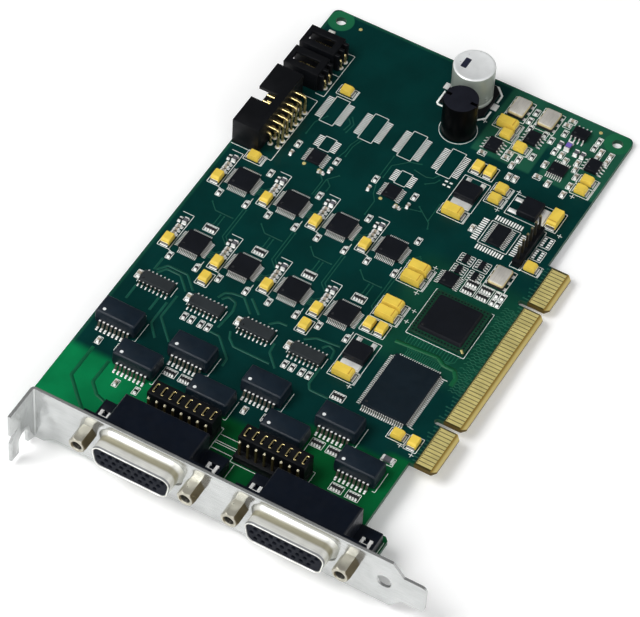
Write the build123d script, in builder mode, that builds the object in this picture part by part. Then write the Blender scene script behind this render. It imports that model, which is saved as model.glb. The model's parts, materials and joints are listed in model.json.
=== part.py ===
"""Sound card for an expansion slot: populated circuit board, folded bracket and two D-sub sockets.

Frame: the origin is on the component face, at the lower board edge, on the centre line of the near key slot.
+X runs from the bracket to the far end, +Y to the card's top edge and +Z out of the component face.
All sizes are millimetres.
"""
import os
from math import radians, tan

from build123d import *

# Circuit board
BOARD_THICK = 1.57
BOARD_HEIGHT = 98.43
BOARD_FAR_X = 118.25
BOARD_CORNER_R = 2.0
BOARD_EDGE_GAP = 0.75
CORNER_HOLE_D = 3.2
CORNER_HOLE_INSET = 3.8
EAR_INNER_X = -40.4
EAR_DROP = 7.6
EAR_CHAMFER = 1.0

# Edge tongue and its contacts
PIN_PITCH = 1.27
PIN_COUNT = 62
NEAR_KEY_PIN = 12
FAR_KEY_PIN = 50
TONGUE_DEPTH = 7.8
TONGUE_OVERHANG = 1.17
TONGUE_CHAMFER = 1.1
TONGUE_BEVEL_HEIGHT = 1.5
TONGUE_BEVEL_DEPTH = 0.45
KEY_SLOT_WIDTH = 1.9
PAD_WIDTH = 1.02
PAD_TOP_GAP = 1.65
PAD_THICK = 0.05

# Bracket
BRACKET_FACE_X = -55.81
BRACKET_THICK = 0.86
BRACKET_TOP_Z = 13.44
BRACKET_WIDTH = 18.42
BRACKET_HEAD_Y = 93.36
BRACKET_HEAD_EXTRA = 2.6
BRACKET_HEAD_STEP_Y = 86.4
BRACKET_HEAD_SLOPE = 3.4
BRACKET_SHOULDER_Y = -16.4
BRACKET_TAPER = 3.4
BRACKET_END_Y = -26.5
BRACKET_TONGUE_WIDTH = 10.19
BRACKET_TONGUE_R = 1.6
BRACKET_BEND_R = 1.3
BRACKET_HOLE_D = 4.5
BRACKET_HOLE_Y = -14.3
TAB_DEPTH = 11.43
TAB_NOTCH_WIDTH = 4.42
TAB_NOTCH_OFFSET = 5.64
TAB_NOTCH_LENGTH = 8.3
TAB_FOOT_RISE = 1.75
TAB_SLIT_LENGTH = 3.5
TAB_SLIT_RISE = 4.5
TAB_SLIT_MOUTH = 3.3

# D-sub connectors
DSUB_A_Y = 59.03
DSUB_B_Y = 12.43
DSUB_AXIS_Z = 6.28
DSUB_REACH = 5.9
DSUB_SIDE_ANGLE = 10
SHELL_WIDTH = 24.7
SHELL_HEIGHT = 7.9
SHELL_CORNER_R = 2.5
SHELL_WALL = 0.45
CUTOUT_CLEARANCE = 1.3
FLANGE_END = 2.94
FLANGE_BOTTOM = 0.3
INSERT_RECESS = 0.25
INSERT_CLEARANCE = 0.05
SOCKET_ROWS = (9, 9, 8)
SOCKET_PITCH = 2.29
SOCKET_ROW_PITCH = 1.98
SOCKET_SIZE = 1.05
SOCKET_DEPTH = 5.5
CONTACT_SIZE = 0.7
CONTACT_RECESS = 1.4
HOUSING_TOP = 11.2
HOUSING_BAR = 1.85
HOUSING_WIDTH = 25.8
HOUSING_REAR = 11.95
HOUSING_EAR_TOP = 4.0
HOUSING_EAR_INSET = 0.4
HOUSING_EDGE = 0.5
JACK_MARGIN = 8.62
JACK_HEX = 4.75
JACK_HEAD = 5.77
JACK_CHAMFER = 0.4
JACK_BORE_D = 2.84
JACK_BORE_DEPTH = 4.6
LOCK_STRIP = 0.4
LOCK_PRONG_WIDTH = 0.95
LOCK_PRONG_SPACING = 2.3
LOCK_REACH = 6.2
LOCK_CLEARANCE = 0.25

# Pin headers
PIN_SQUARE = 0.64
HEADER_PITCH = 2.54
HEADER_BASE = 2.5
PIN_CLEARANCE = 0.02
BOX_MID_X = 69.95
BOX_COLUMNS = 7
BOX_END = 5.08
BOX_FRONT_INSET = 0.4
BOX_DEPTH = 8.6
BOX_HEIGHT = 9.4
BOX_WALL = 1.2
BOX_BACK_WALL = 1.7
BOX_NOTCH_WIDTH = 4.5
BOX_NOTCH_DEPTH = 6.0
BOX_LOWER_PIN_Z = 4.26
BOX_PIN_RECESS = 2.7
BOX_TAIL_GAP = 1.1
LOCKING_MID_X = (90.2, 99.5)
LOCKING_PINS = 2
LOCKING_SIDE = 2.54
LOCKING_FRONT_INSET = 0.2
LOCKING_DEPTH = 11.2
LOCKING_HEIGHT = 6.8
LOCKING_WALL = 1.1
LOCKING_BACK_WALL = 2.0
LOCKING_SLOT_WIDTH = 2.9
LOCKING_BRIDGE = 1.5
LOCKING_PIN_Z = 3.2
LOCKING_PIN_RECESS = 2.6
LOCKING_TAIL_GAP = 1.4
JUMPER_X = -36.3
JUMPER_Y = (58.4, 30.2)
JUMPER_ROWS = 8
JUMPER_COLUMNS = 3
JUMPER_PIN_TOP = 8.1
JUMPER_BLOCK_TOP = 8.0
JUMPER_BLOCK_WALL = 0.7
JUMPER_BLOCK_ROOF = 0.9
JUMPER_LINK_WIDTH = 0.7
JUMPER_LINK_HEIGHT = 0.7
JUMPER_LINK_FOOT = 0.35
SERVICE_X = 66.25
SERVICE_Y = 7.45
SERVICE_PINS = 6
SERVICE_PIN_TOP = 8.3

# Electrolytic capacitor and choke, placed from the far end
CAN_INSET_X = 10.05
CAN_Y = 48.0
CAN_D = 12.5
CAN_TOP = 13.7
CAN_EDGE = 0.5
CAN_BASE = 13.5
CAN_BASE_THICK = 1.3
CAN_BASE_CHAMFER = 2.0
CAN_TERMINAL_WIDTH = 2.4
CAN_TERMINAL_LENGTH = 1.9
CAN_TERMINAL_THICK = 0.3
CHOKE_INSET_X = 23.0
CHOKE_Y = 45.3
CHOKE_D = 10.2
CHOKE_HEIGHT = 13.2
CHOKE_NOTCH_WIDTH = 1.0
CHOKE_NOTCH_LENGTH = 2.0
CHOKE_NOTCH_DEPTH = 1.2

# Rows of the signal section, spread between the top edge and the lowest row
ROW_COUNT = 4
ROW_TOP_INSET = 11.13
ROW_LOWEST_Y = 39.65
RECEIVER_X = (18.85, 45.9)
RECEIVER_SIZE = 7.0
RECEIVER_HEIGHT = 1.5
DRIVER_X = 1.2
DRIVER_SHIFT_Y = 1.5
DRIVER_WIDTH = 3.9
DRIVER_LENGTH = 9.9
DRIVER_HEIGHT = 1.7
TRANSFORMER_ROW_PITCH = 22.95
TRANSFORMER_X = (-15.55, -25.7)
TRANSFORMER_TOP_INSET = (8.2, 19.9)
TRANSFORMER_WIDTH = 6.7
TRANSFORMER_LENGTH = 12.6
TRANSFORMER_HEIGHT = 5.2
TRANSFORMER_DRAFT = 2
CHIP_DRAFT = 6

# Large chips
MEMORY_X = 3.83
MEMORY_Y = 13.51
MEMORY_LENGTH = 20.0
MEMORY_WIDTH = 14.0
LOGIC_X = 31.5
LOGIC_Y = 13.3
LOGIC_SIZE = 17.0
LOGIC_BASE_THICK = 1.0
LOGIC_CAP_SIZE = 14.0
LOGIC_CAP_HEIGHT = 1.05
LOGIC_CAP_DRAFT = 25

# Regulators: place and the side that the metal tab points to, in quarter turns from -X
REGULATORS = ((8.6, 29.5, 0), (75.0, 31.3, 0), (78.7, 13.2, 1))
REGULATOR_LENGTH = 6.1
REGULATOR_WIDTH = 6.6
REGULATOR_HEIGHT = 2.3
REGULATOR_TAB_WIDTH = 5.4
REGULATOR_TAB_REACH = 2.0
REGULATOR_LEAD_REACH = 2.4
REGULATOR_LEAD_WIDTH = 0.8
REGULATOR_LEAD_PITCH = 4.57
REGULATOR_METAL = 0.5

# Oscillators
OSCILLATORS = ((111.2, 33.7), (111.6, 24.4), (52.5, 8.9))
OSCILLATOR_LENGTH = 7.0
OSCILLATOR_WIDTH = 5.0
OSCILLATOR_BASE = 0.7
OSCILLATOR_HEIGHT = 1.9
OSCILLATOR_RIM = 0.35

# Tantalum capacitors: each free one has its place and 1 where its length runs along Y,
# and those under the top edge have X and their inset from that edge
SMALL_TANTALUM = (3.5, 2.8, 1.9)
LARGE_TANTALUM = (6.0, 3.2, 2.5)
TANTALUM_BEVEL = 0.55
ROW_TANTALUM_SHIFT_X = -2.5
ROW_TANTALUM_SHARE = 0.457
EXTRA_TANTALUM_SHIFT_X = -9.05
TOP_EDGE_TANTALUMS = ((55.3, 9.03), (90.95, 19.13))
SMALL_PLACES = (
    (19.45, 31.95, 0),
    (19.45, 28.2, 0),
    (85.3, 33.45, 0),
    (85.3, 29.7, 0),
    (77.25, 23.8, 1),
    (81.5, 23.8, 1),
    (60.3, 3.5, 1),
    (92.9, 4.55, 1),
    (96.9, 4.55, 1),
    (97.95, 26.7, 1),
    (100.4, 32.35, 1),
    (-9.85, 6.8, 1),
    (-9.95, 1.85, 0),
)
LARGE_PLACES = (
    (0.9, 29.7, 1),
    (24.6, 29.6, 1),
    (28.55, 29.6, 1),
    (39.3, 29.6, 1),
    (43.45, 29.6, 1),
    (66.8, 31.7, 1),
    (79.2, 5.7, 0),
    (104.0, 33.9, 1),
)

# Small chips: place, body length along X, body length along Y and height
SMALL_CHIPS = (
    (94.9, 33.7, 4.9, 3.9, 1.5),
    (102.9, 25.3, 4.9, 3.9, 1.5),
    (102.6, 5.6, 4.9, 3.9, 1.5),
    (111.6, 14.3, 3.9, 4.9, 1.5),
    (44.7, 20.8, 5.0, 4.4, 1.0),
    (64.3, 74.4, 5.0, 4.4, 1.0),
    (64.3, 49.9, 5.0, 4.4, 1.0),
    (65.9, 16.5, 7.8, 4.4, 1.0),
    (96.4, 13.7, 4.4, 5.0, 1.0),
    (49.3, 20.3, 2.9, 1.6, 1.0),
    (53.8, 20.3, 2.9, 1.6, 1.0),
    (49.4, 15.3, 2.9, 1.6, 1.0),
    (53.9, 15.3, 2.9, 1.6, 1.0),
)

# Chip passives beside each receiver: shift from the receiver, then length along X, along Y and height
ROW_PASSIVES = (
    (-6.9, 4.0, 1.6, 0.8, 0.5),
    (-6.9, -4.7, 1.6, 0.8, 0.5),
    (5.9, 6.5, 2.0, 1.25, 0.9),
)
INDICATOR_INSET_X = 9.9
INDICATOR_INSET_Y = 3.8
INDICATOR_SIZE = 2.0
INDICATOR_HEIGHT = 1.0

# Sizes worked out from the ones above
BRACKET_BACK_X = BRACKET_FACE_X + BRACKET_THICK
BRACKET_BOTTOM_Z = BRACKET_TOP_Z - BRACKET_WIDTH
BRACKET_MID_Z = BRACKET_TOP_Z - BRACKET_WIDTH / 2
BOARD_NEAR_X = BRACKET_BACK_X + BOARD_EDGE_GAP
DSUB_FRONT_X = BRACKET_FACE_X - DSUB_REACH
HOUSING_FRONT_X = BRACKET_BACK_X + SHELL_WALL
BAR_BACK_X = HOUSING_FRONT_X + HOUSING_BAR
LOCK_DROP_X = BAR_BACK_X + LOCK_REACH
LOCK_SLOT_WIDTH = LOCK_PRONG_SPACING + LOCK_PRONG_WIDTH + 2 * LOCK_CLEARANCE
DSUB_CENTRES = (DSUB_A_Y, DSUB_B_Y)
JACK_SPACING = SHELL_WIDTH + JACK_MARGIN
FLANGE_LENGTH = JACK_SPACING + 2 * FLANGE_END
HOUSING_EAR_LENGTH = FLANGE_LENGTH - 2 * HOUSING_EAR_INSET
JACK_OFFSETS = (-JACK_SPACING / 2, JACK_SPACING / 2)
PRONG_OFFSETS = (-LOCK_PRONG_SPACING / 2, LOCK_PRONG_SPACING / 2)
ROW_PITCH = (BOARD_HEIGHT - ROW_TOP_INSET - ROW_LOWEST_Y) / (ROW_COUNT - 1)
CAN_X = BOARD_FAR_X - CAN_INSET_X
CHOKE_X = BOARD_FAR_X - CHOKE_INSET_X


def save(piece, name):
    """Label a finished piece and write it as its own file."""
    piece.part.label = name
    export_step(piece.part, f"parts/{name}.step")


def pin_x(position):
    """X of an edge contact position, with the near key slot at X = 0."""
    return (position - NEAR_KEY_PIN - 0.5) * PIN_PITCH


def row_y(row):
    """Y of a receiver row, counted from the top edge."""
    return BOARD_HEIGHT - ROW_TOP_INSET - row * ROW_PITCH


def face_plane(x, y, z=DSUB_AXIS_Z):
    """Plane facing +X, with its own X along Y and its own Y along Z."""
    return Plane(origin=(x, y, z), x_dir=(0, 1, 0), z_dir=(1, 0, 0))


def side_plane(x, y, along_y):
    """Upright plane through the length of a part that lies along X or along Y."""
    if along_y:
        return Plane(origin=(x, y, 0), x_dir=(0, 1, 0), z_dir=(1, 0, 0))
    return Plane(origin=(x, y, 0), x_dir=(1, 0, 0), z_dir=(0, -1, 0))


def solid_block(x_span, y_span, z_span, mode=Mode.ADD):
    """Rectangular block between two limits on each axis, made in the current part."""
    with BuildSketch(Plane.XY.offset(z_span[0])) as footprint:
        with Locations(((x_span[0] + x_span[1]) / 2, (y_span[0] + y_span[1]) / 2)):
            Rectangle(x_span[1] - x_span[0], y_span[1] - y_span[0])
    extrude(footprint.sketch, amount=z_span[1] - z_span[0], mode=mode)


def moulded_body(x, y, length, width, bottom, height, draft=CHIP_DRAFT):
    """Moulded chip body whose sides lean in towards the top, made in the current part."""
    with BuildSketch(Plane.XY.offset(bottom)) as footprint:
        with Locations((x, y)):
            Rectangle(length, width)
    extrude(footprint.sketch, amount=height, taper=draft)


def d_profile(plane, growth=0.0):
    """D outline of the connector with its wide side up, grown or shrunk by an even margin."""
    lean = SHELL_HEIGHT * tan(radians(DSUB_SIDE_ANGLE))
    half_width = SHELL_WIDTH / 2
    half_height = SHELL_HEIGHT / 2
    with BuildSketch(plane) as profile:
        with BuildLine():
            Polyline(
                (-half_width, half_height),
                (half_width, half_height),
                (half_width - lean, -half_height),
                (lean - half_width, -half_height),
                close=True,
            )
        make_face()
        fillet(profile.vertices(), SHELL_CORNER_R)
        if growth:
            offset(amount=growth, mode=Mode.REPLACE)
    return profile.sketch


def bent_pin(x, tip_y, tail_y, pin_z):
    """Square pin that runs along Y and turns down to the board, made in the current part."""
    half = PIN_SQUARE / 2
    with BuildSketch(side_plane(x, 0, True)) as profile:
        with BuildLine():
            Polyline(
                (tip_y, pin_z + half),
                (tail_y - half, pin_z + half),
                (tail_y - half, 0),
                (tail_y + half, 0),
                (tail_y + half, pin_z - half),
                (tip_y, pin_z - half),
                close=True,
            )
        make_face()
    extrude(profile.sketch, amount=half, both=True)


# Circuit board with its ear, edge tongue, key slots and holes
tongue_start = pin_x(1) - TONGUE_OVERHANG
tongue_end = pin_x(PIN_COUNT) + TONGUE_OVERHANG
key_centres = (pin_x(NEAR_KEY_PIN + 0.5), pin_x(FAR_KEY_PIN + 0.5))
segment_starts = (tongue_start, *(x + KEY_SLOT_WIDTH / 2 for x in key_centres))
segment_ends = (*(x - KEY_SLOT_WIDTH / 2 for x in key_centres), tongue_end)
board_mid_x = (BOARD_NEAR_X + BOARD_FAR_X) / 2
corner_holes = [
    (BOARD_FAR_X - CORNER_HOLE_INSET, CORNER_HOLE_INSET),
    (BOARD_FAR_X - CORNER_HOLE_INSET, BOARD_HEIGHT - CORNER_HOLE_INSET),
]
with BuildPart() as circuit_board:
    with BuildSketch(Plane.XY.offset(-BOARD_THICK)) as outline:
        with Locations((board_mid_x, BOARD_HEIGHT / 2)):
            Rectangle(BOARD_FAR_X - BOARD_NEAR_X, BOARD_HEIGHT)
        fillet(outline.vertices().group_by(Axis.X)[-1], BOARD_CORNER_R)
        with BuildLine():
            Polyline(
                (BOARD_NEAR_X, 0),
                (BOARD_NEAR_X, -EAR_DROP),
                (EAR_INNER_X - EAR_CHAMFER, -EAR_DROP),
                (EAR_INNER_X, EAR_CHAMFER - EAR_DROP),
                (EAR_INNER_X, 0),
                close=True,
            )
        make_face()
        for start, end in zip(segment_starts, segment_ends):
            with BuildLine():
                Polyline(
                    (start, 0),
                    (start, TONGUE_CHAMFER - TONGUE_DEPTH),
                    (start + TONGUE_CHAMFER, -TONGUE_DEPTH),
                    (end - TONGUE_CHAMFER, -TONGUE_DEPTH),
                    (end, TONGUE_CHAMFER - TONGUE_DEPTH),
                    (end, 0),
                    close=True,
                )
            make_face()
        with Locations(*((x, 0) for x in key_centres)):
            Circle(KEY_SLOT_WIDTH / 2, mode=Mode.SUBTRACT)
        with Locations(*corner_holes):
            Circle(CORNER_HOLE_D / 2, mode=Mode.SUBTRACT)
    extrude(amount=BOARD_THICK)
    with BuildSketch(Plane.YZ.offset(tongue_start)):
        for face_z, inward in ((0, -1), (-BOARD_THICK, 1)):
            with BuildLine():
                Polyline(
                    (-TONGUE_DEPTH, face_z),
                    (TONGUE_BEVEL_HEIGHT - TONGUE_DEPTH, face_z),
                    (-TONGUE_DEPTH, face_z + inward * TONGUE_BEVEL_DEPTH),
                    close=True,
                )
            make_face()
    extrude(amount=tongue_end - tongue_start, mode=Mode.SUBTRACT)
save(circuit_board, "circuit_board")

# Gold edge contacts on both faces of the tongue
pad_bottom = TONGUE_BEVEL_HEIGHT - TONGUE_DEPTH
pad_mid_y = (pad_bottom - PAD_TOP_GAP) / 2
missing = (NEAR_KEY_PIN, NEAR_KEY_PIN + 1, FAR_KEY_PIN, FAR_KEY_PIN + 1)
pad_places = [(pin_x(i), pad_mid_y) for i in range(1, PIN_COUNT + 1) if i not in missing]
for side, pad_z in (("component_side", 0), ("solder_side", -BOARD_THICK - PAD_THICK)):
    with BuildPart() as contacts:
        with BuildSketch(Plane.XY.offset(pad_z)):
            with Locations(*pad_places):
                Rectangle(PAD_WIDTH, -PAD_TOP_GAP - pad_bottom)
        extrude(amount=PAD_THICK)
    save(contacts, f"edge_contacts_{side}")

# Folded bracket: plate with shoulders and tongue, then the bent tab with its open notch
tongue_top_z = BRACKET_MID_Z + BRACKET_TONGUE_WIDTH / 2
tongue_bottom_z = BRACKET_MID_Z - BRACKET_TONGUE_WIDTH / 2
head_bottom_z = BRACKET_BOTTOM_Z - BRACKET_HEAD_EXTRA
tab_inner_y = BRACKET_HEAD_Y - BRACKET_THICK
tab_end_x = BRACKET_FACE_X - TAB_DEPTH
notch_x = BRACKET_FACE_X - TAB_NOTCH_OFFSET
notch_top_z = head_bottom_z + TAB_NOTCH_LENGTH
slit_top_z = notch_top_z + TAB_SLIT_RISE
with BuildPart() as bracket:
    with BuildSketch(Plane.YZ.offset(BRACKET_FACE_X)) as plate:
        with BuildLine():
            Polyline(
                (BRACKET_HEAD_Y, BRACKET_TOP_Z),
                (BRACKET_SHOULDER_Y, BRACKET_TOP_Z),
                (BRACKET_SHOULDER_Y - BRACKET_TAPER, tongue_top_z),
                (BRACKET_END_Y, tongue_top_z),
                (BRACKET_END_Y, tongue_bottom_z),
                (BRACKET_SHOULDER_Y - BRACKET_TAPER, tongue_bottom_z),
                (BRACKET_SHOULDER_Y, BRACKET_BOTTOM_Z),
                (BRACKET_HEAD_STEP_Y, BRACKET_BOTTOM_Z),
                (BRACKET_HEAD_STEP_Y + BRACKET_HEAD_SLOPE, head_bottom_z),
                (BRACKET_HEAD_Y, head_bottom_z),
                close=True,
            )
        make_face()
        fillet(plate.vertices().sort_by(Axis.X)[:2], BRACKET_TONGUE_R)
        with Locations((BRACKET_HOLE_Y, BRACKET_MID_Z)):
            Circle(BRACKET_HOLE_D / 2, mode=Mode.SUBTRACT)
    extrude(amount=BRACKET_THICK)
    for centre_y in DSUB_CENTRES:
        cutout = d_profile(face_plane(BRACKET_FACE_X, centre_y), CUTOUT_CLEARANCE)
        extrude(cutout, amount=BRACKET_THICK, mode=Mode.SUBTRACT)
    with BuildSketch(Plane.XZ.offset(-BRACKET_HEAD_Y)):
        with BuildLine():
            Polyline(
                (BRACKET_BACK_X, BRACKET_TOP_Z),
                (tab_end_x, BRACKET_TOP_Z),
                (tab_end_x, head_bottom_z + TAB_FOOT_RISE),
                (notch_x + TAB_NOTCH_WIDTH / 2, head_bottom_z + TAB_FOOT_RISE),
                (BRACKET_FACE_X, head_bottom_z),
                (BRACKET_BACK_X, head_bottom_z),
                close=True,
            )
        make_face()
        with Locations((notch_x, notch_top_z - TAB_NOTCH_WIDTH / 2)):
            Circle(TAB_NOTCH_WIDTH / 2, mode=Mode.SUBTRACT)
        with Locations((notch_x, (head_bottom_z + notch_top_z - TAB_NOTCH_WIDTH / 2) / 2)):
            Rectangle(TAB_NOTCH_WIDTH, TAB_NOTCH_LENGTH - TAB_NOTCH_WIDTH / 2, mode=Mode.SUBTRACT)
        with BuildLine():
            Polyline(
                (tab_end_x, slit_top_z),
                (tab_end_x + TAB_SLIT_LENGTH, slit_top_z),
                (tab_end_x, slit_top_z - TAB_SLIT_MOUTH),
                close=True,
            )
        make_face(mode=Mode.SUBTRACT)
    extrude(amount=BRACKET_THICK)
    upright = bracket.edges().filter_by(Axis.Z).sort_by(Axis.Y)
    bend_outside = upright.filter_by(lambda edge: abs(edge.center().X - BRACKET_BACK_X) < 0.01)[-1]
    bend_inside = upright.filter_by(lambda edge: abs(edge.center().X - BRACKET_FACE_X) < 0.01)[-1]
    fillet(bend_outside, BRACKET_BEND_R)
    fillet(bend_inside, BRACKET_BEND_R - BRACKET_THICK)
save(bracket, "bracket")

# The two D-sub connectors
flange_mid_z = (FLANGE_BOTTOM + HOUSING_TOP) / 2 - DSUB_AXIS_Z
flange_height = HOUSING_TOP - FLANGE_BOTTOM
insert_front_x = DSUB_FRONT_X + INSERT_RECESS
insert_margin = SHELL_WALL + INSERT_CLEARANCE
middle_row = (len(SOCKET_ROWS) - 1) / 2
socket_places = []
for row, count in enumerate(SOCKET_ROWS):
    row_shift = SOCKET_PITCH / 4 if row == 0 else -SOCKET_PITCH / 4
    for column in range(count):
        along = ((count - 1) / 2 - column) * SOCKET_PITCH + row_shift
        socket_places.append((along, (middle_row - row) * SOCKET_ROW_PITCH))

for letter, centre_y in zip("ab", DSUB_CENTRES):
    with BuildPart() as shell:
        with BuildSketch(face_plane(BRACKET_BACK_X, centre_y)):
            with Locations((0, flange_mid_z)):
                Rectangle(FLANGE_LENGTH, flange_height)
        extrude(amount=SHELL_WALL)
        outside = d_profile(face_plane(DSUB_FRONT_X, centre_y))
        extrude(outside, amount=BRACKET_BACK_X - DSUB_FRONT_X)
        inside = d_profile(face_plane(DSUB_FRONT_X, centre_y), -SHELL_WALL)
        extrude(inside, amount=HOUSING_FRONT_X - DSUB_FRONT_X, mode=Mode.SUBTRACT)
    save(shell, f"dsub_{letter}_shell")

    with BuildPart() as insert:
        plug = d_profile(face_plane(insert_front_x, centre_y), -insert_margin)
        extrude(plug, amount=HOUSING_FRONT_X - insert_front_x)
        with BuildSketch(face_plane(insert_front_x, centre_y)):
            with Locations(*socket_places):
                Rectangle(SOCKET_SIZE, SOCKET_SIZE)
        extrude(amount=SOCKET_DEPTH, mode=Mode.SUBTRACT)
    save(insert, f"dsub_{letter}_insert")

    with BuildPart() as sockets:
        with BuildSketch(face_plane(insert_front_x + CONTACT_RECESS, centre_y)):
            with Locations(*socket_places):
                Rectangle(CONTACT_SIZE, CONTACT_SIZE)
        extrude(amount=SOCKET_DEPTH - CONTACT_RECESS)
    save(sockets, f"dsub_{letter}_contacts")

    with BuildPart() as housing:
        with BuildSketch(face_plane(HOUSING_FRONT_X, centre_y, 0)):
            with Locations((0, HOUSING_TOP / 2)):
                Rectangle(HOUSING_WIDTH, HOUSING_TOP)
            with Locations((0, HOUSING_EAR_TOP / 2)):
                Rectangle(HOUSING_EAR_LENGTH, HOUSING_EAR_TOP)
        extrude(amount=HOUSING_REAR)
        chamfer(housing.edges().filter_by(Axis.X).group_by(Axis.Z)[-1], HOUSING_EDGE)
        chamfer(housing.edges().filter_by(Axis.Y).group_by(Axis.X)[-1].sort_by(Axis.Z)[-1], HOUSING_EDGE)
        with BuildSketch(face_plane(HOUSING_FRONT_X, centre_y, 0)):
            with Locations((0, (FLANGE_BOTTOM + HOUSING_TOP) / 2)):
                Rectangle(FLANGE_LENGTH, flange_height)
        extrude(amount=HOUSING_BAR)
        lock_slot = LOCK_STRIP / 2 + LOCK_CLEARANCE
        for shift in JACK_OFFSETS:
            solid_block(
                (LOCK_DROP_X - lock_slot, LOCK_DROP_X + lock_slot),
                (centre_y + shift - LOCK_SLOT_WIDTH / 2, centre_y + shift + LOCK_SLOT_WIDTH / 2),
                (0, HOUSING_EAR_TOP),
                Mode.SUBTRACT,
            )
    save(housing, f"dsub_{letter}_housing")

    with BuildPart() as board_locks:
        for shift in JACK_OFFSETS:
            for prong in PRONG_OFFSETS:
                with BuildSketch(side_plane(0, centre_y + shift + prong, False)):
                    with BuildLine():
                        Polyline(
                            (BAR_BACK_X, HOUSING_EAR_TOP + LOCK_STRIP),
                            (LOCK_DROP_X + LOCK_STRIP / 2, HOUSING_EAR_TOP + LOCK_STRIP),
                            (LOCK_DROP_X + LOCK_STRIP / 2, 0),
                            (LOCK_DROP_X - LOCK_STRIP / 2, 0),
                            (LOCK_DROP_X - LOCK_STRIP / 2, HOUSING_EAR_TOP),
                            (BAR_BACK_X, HOUSING_EAR_TOP),
                            close=True,
                        )
                    make_face()
                extrude(amount=LOCK_PRONG_WIDTH / 2, both=True)
            joined_y = (LOCK_PRONG_SPACING + LOCK_PRONG_WIDTH) / 2
            solid_block(
                (BAR_BACK_X, BAR_BACK_X + LOCK_REACH / 2),
                (centre_y + shift - joined_y, centre_y + shift + joined_y),
                (HOUSING_EAR_TOP, HOUSING_EAR_TOP + LOCK_STRIP),
            )
    save(board_locks, f"dsub_{letter}_board_locks")

# Jackscrews: hexagon heads with chamfered rims and threaded bores, seated on the bracket
with BuildPart() as jackscrew:
    with BuildSketch(Plane.YZ):
        RegularPolygon(JACK_HEX / 2, 6, major_radius=False, rotation=90)
    extrude(amount=JACK_HEAD)
    chamfer(jackscrew.faces().sort_by(Axis.X)[0].edges(), JACK_CHAMFER)
    with BuildSketch(Plane.YZ):
        Circle(JACK_BORE_D / 2)
    extrude(amount=JACK_BORE_DEPTH, mode=Mode.SUBTRACT)
jack_front_x = BRACKET_FACE_X - JACK_HEAD
with BuildPart() as jackscrews:
    for centre_y in DSUB_CENTRES:
        with Locations(*((jack_front_x, centre_y + shift, DSUB_AXIS_Z) for shift in JACK_OFFSETS)):
            add(jackscrew.part)
save(jackscrews, "jackscrews")

# Right-angle box header at the top edge
box_front_y = BOARD_HEIGHT - BOX_FRONT_INSET
box_back_y = box_front_y - BOX_DEPTH
box_half = (BOX_COLUMNS - 1) * HEADER_PITCH / 2 + BOX_END
box_columns = [BOX_MID_X + (i - (BOX_COLUMNS - 1) / 2) * HEADER_PITCH for i in range(BOX_COLUMNS)]
box_rows = (BOX_LOWER_PIN_Z, BOX_LOWER_PIN_Z + HEADER_PITCH)
with BuildPart() as box_header_shroud:
    solid_block((BOX_MID_X - box_half, BOX_MID_X + box_half), (box_back_y, box_front_y), (0, BOX_HEIGHT))
    solid_block(
        (BOX_MID_X - box_half + BOX_WALL, BOX_MID_X + box_half - BOX_WALL),
        (box_back_y + BOX_BACK_WALL, box_front_y),
        (BOX_WALL, BOX_HEIGHT - BOX_WALL),
        Mode.SUBTRACT,
    )
    solid_block(
        (BOX_MID_X - BOX_NOTCH_WIDTH / 2, BOX_MID_X + BOX_NOTCH_WIDTH / 2),
        (box_front_y - BOX_NOTCH_DEPTH, box_front_y),
        (BOX_HEIGHT - BOX_WALL, BOX_HEIGHT),
        Mode.SUBTRACT,
    )
    with BuildSketch(Plane.XZ.offset(-box_back_y - BOX_BACK_WALL)):
        with Locations(*((x, z) for x in box_columns for z in box_rows)):
            Rectangle(PIN_SQUARE + 2 * PIN_CLEARANCE, PIN_SQUARE + 2 * PIN_CLEARANCE)
    extrude(amount=BOX_BACK_WALL, mode=Mode.SUBTRACT)
save(box_header_shroud, "box_header_shroud")

with BuildPart() as box_header_pins:
    for x in box_columns:
        for row, pin_z in enumerate(box_rows):
            bent_pin(x, box_front_y - BOX_PIN_RECESS, box_back_y - BOX_TAIL_GAP - row * HEADER_PITCH, pin_z)
save(box_header_pins, "box_header_pins")

# Two right-angle locking headers beside it
lock_front_y = BOARD_HEIGHT - LOCKING_FRONT_INSET
lock_back_y = lock_front_y - LOCKING_DEPTH
lock_half = (LOCKING_PINS - 1) * HEADER_PITCH / 2 + LOCKING_SIDE
lock_columns = [(i - (LOCKING_PINS - 1) / 2) * HEADER_PITCH for i in range(LOCKING_PINS)]
for letter, mid_x in zip("ab", LOCKING_MID_X):
    with BuildPart() as locking_header:
        solid_block((mid_x - lock_half, mid_x + lock_half), (lock_back_y, lock_front_y), (0, LOCKING_HEIGHT))
        solid_block(
            (mid_x - lock_half + LOCKING_WALL, mid_x + lock_half - LOCKING_WALL),
            (lock_back_y + LOCKING_BACK_WALL, lock_front_y),
            (LOCKING_WALL, LOCKING_HEIGHT - LOCKING_WALL),
            Mode.SUBTRACT,
        )
        solid_block(
            (mid_x - LOCKING_SLOT_WIDTH / 2, mid_x + LOCKING_SLOT_WIDTH / 2),
            (lock_back_y + LOCKING_BACK_WALL, lock_front_y - LOCKING_BRIDGE),
            (LOCKING_HEIGHT - LOCKING_WALL, LOCKING_HEIGHT),
            Mode.SUBTRACT,
        )
        with BuildSketch(Plane.XZ.offset(-lock_back_y - LOCKING_BACK_WALL)):
            with Locations(*((mid_x + x, LOCKING_PIN_Z) for x in lock_columns)):
                Rectangle(PIN_SQUARE + 2 * PIN_CLEARANCE, PIN_SQUARE + 2 * PIN_CLEARANCE)
        extrude(amount=LOCKING_BACK_WALL, mode=Mode.SUBTRACT)
    save(locking_header, f"locking_header_{letter}")

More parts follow.
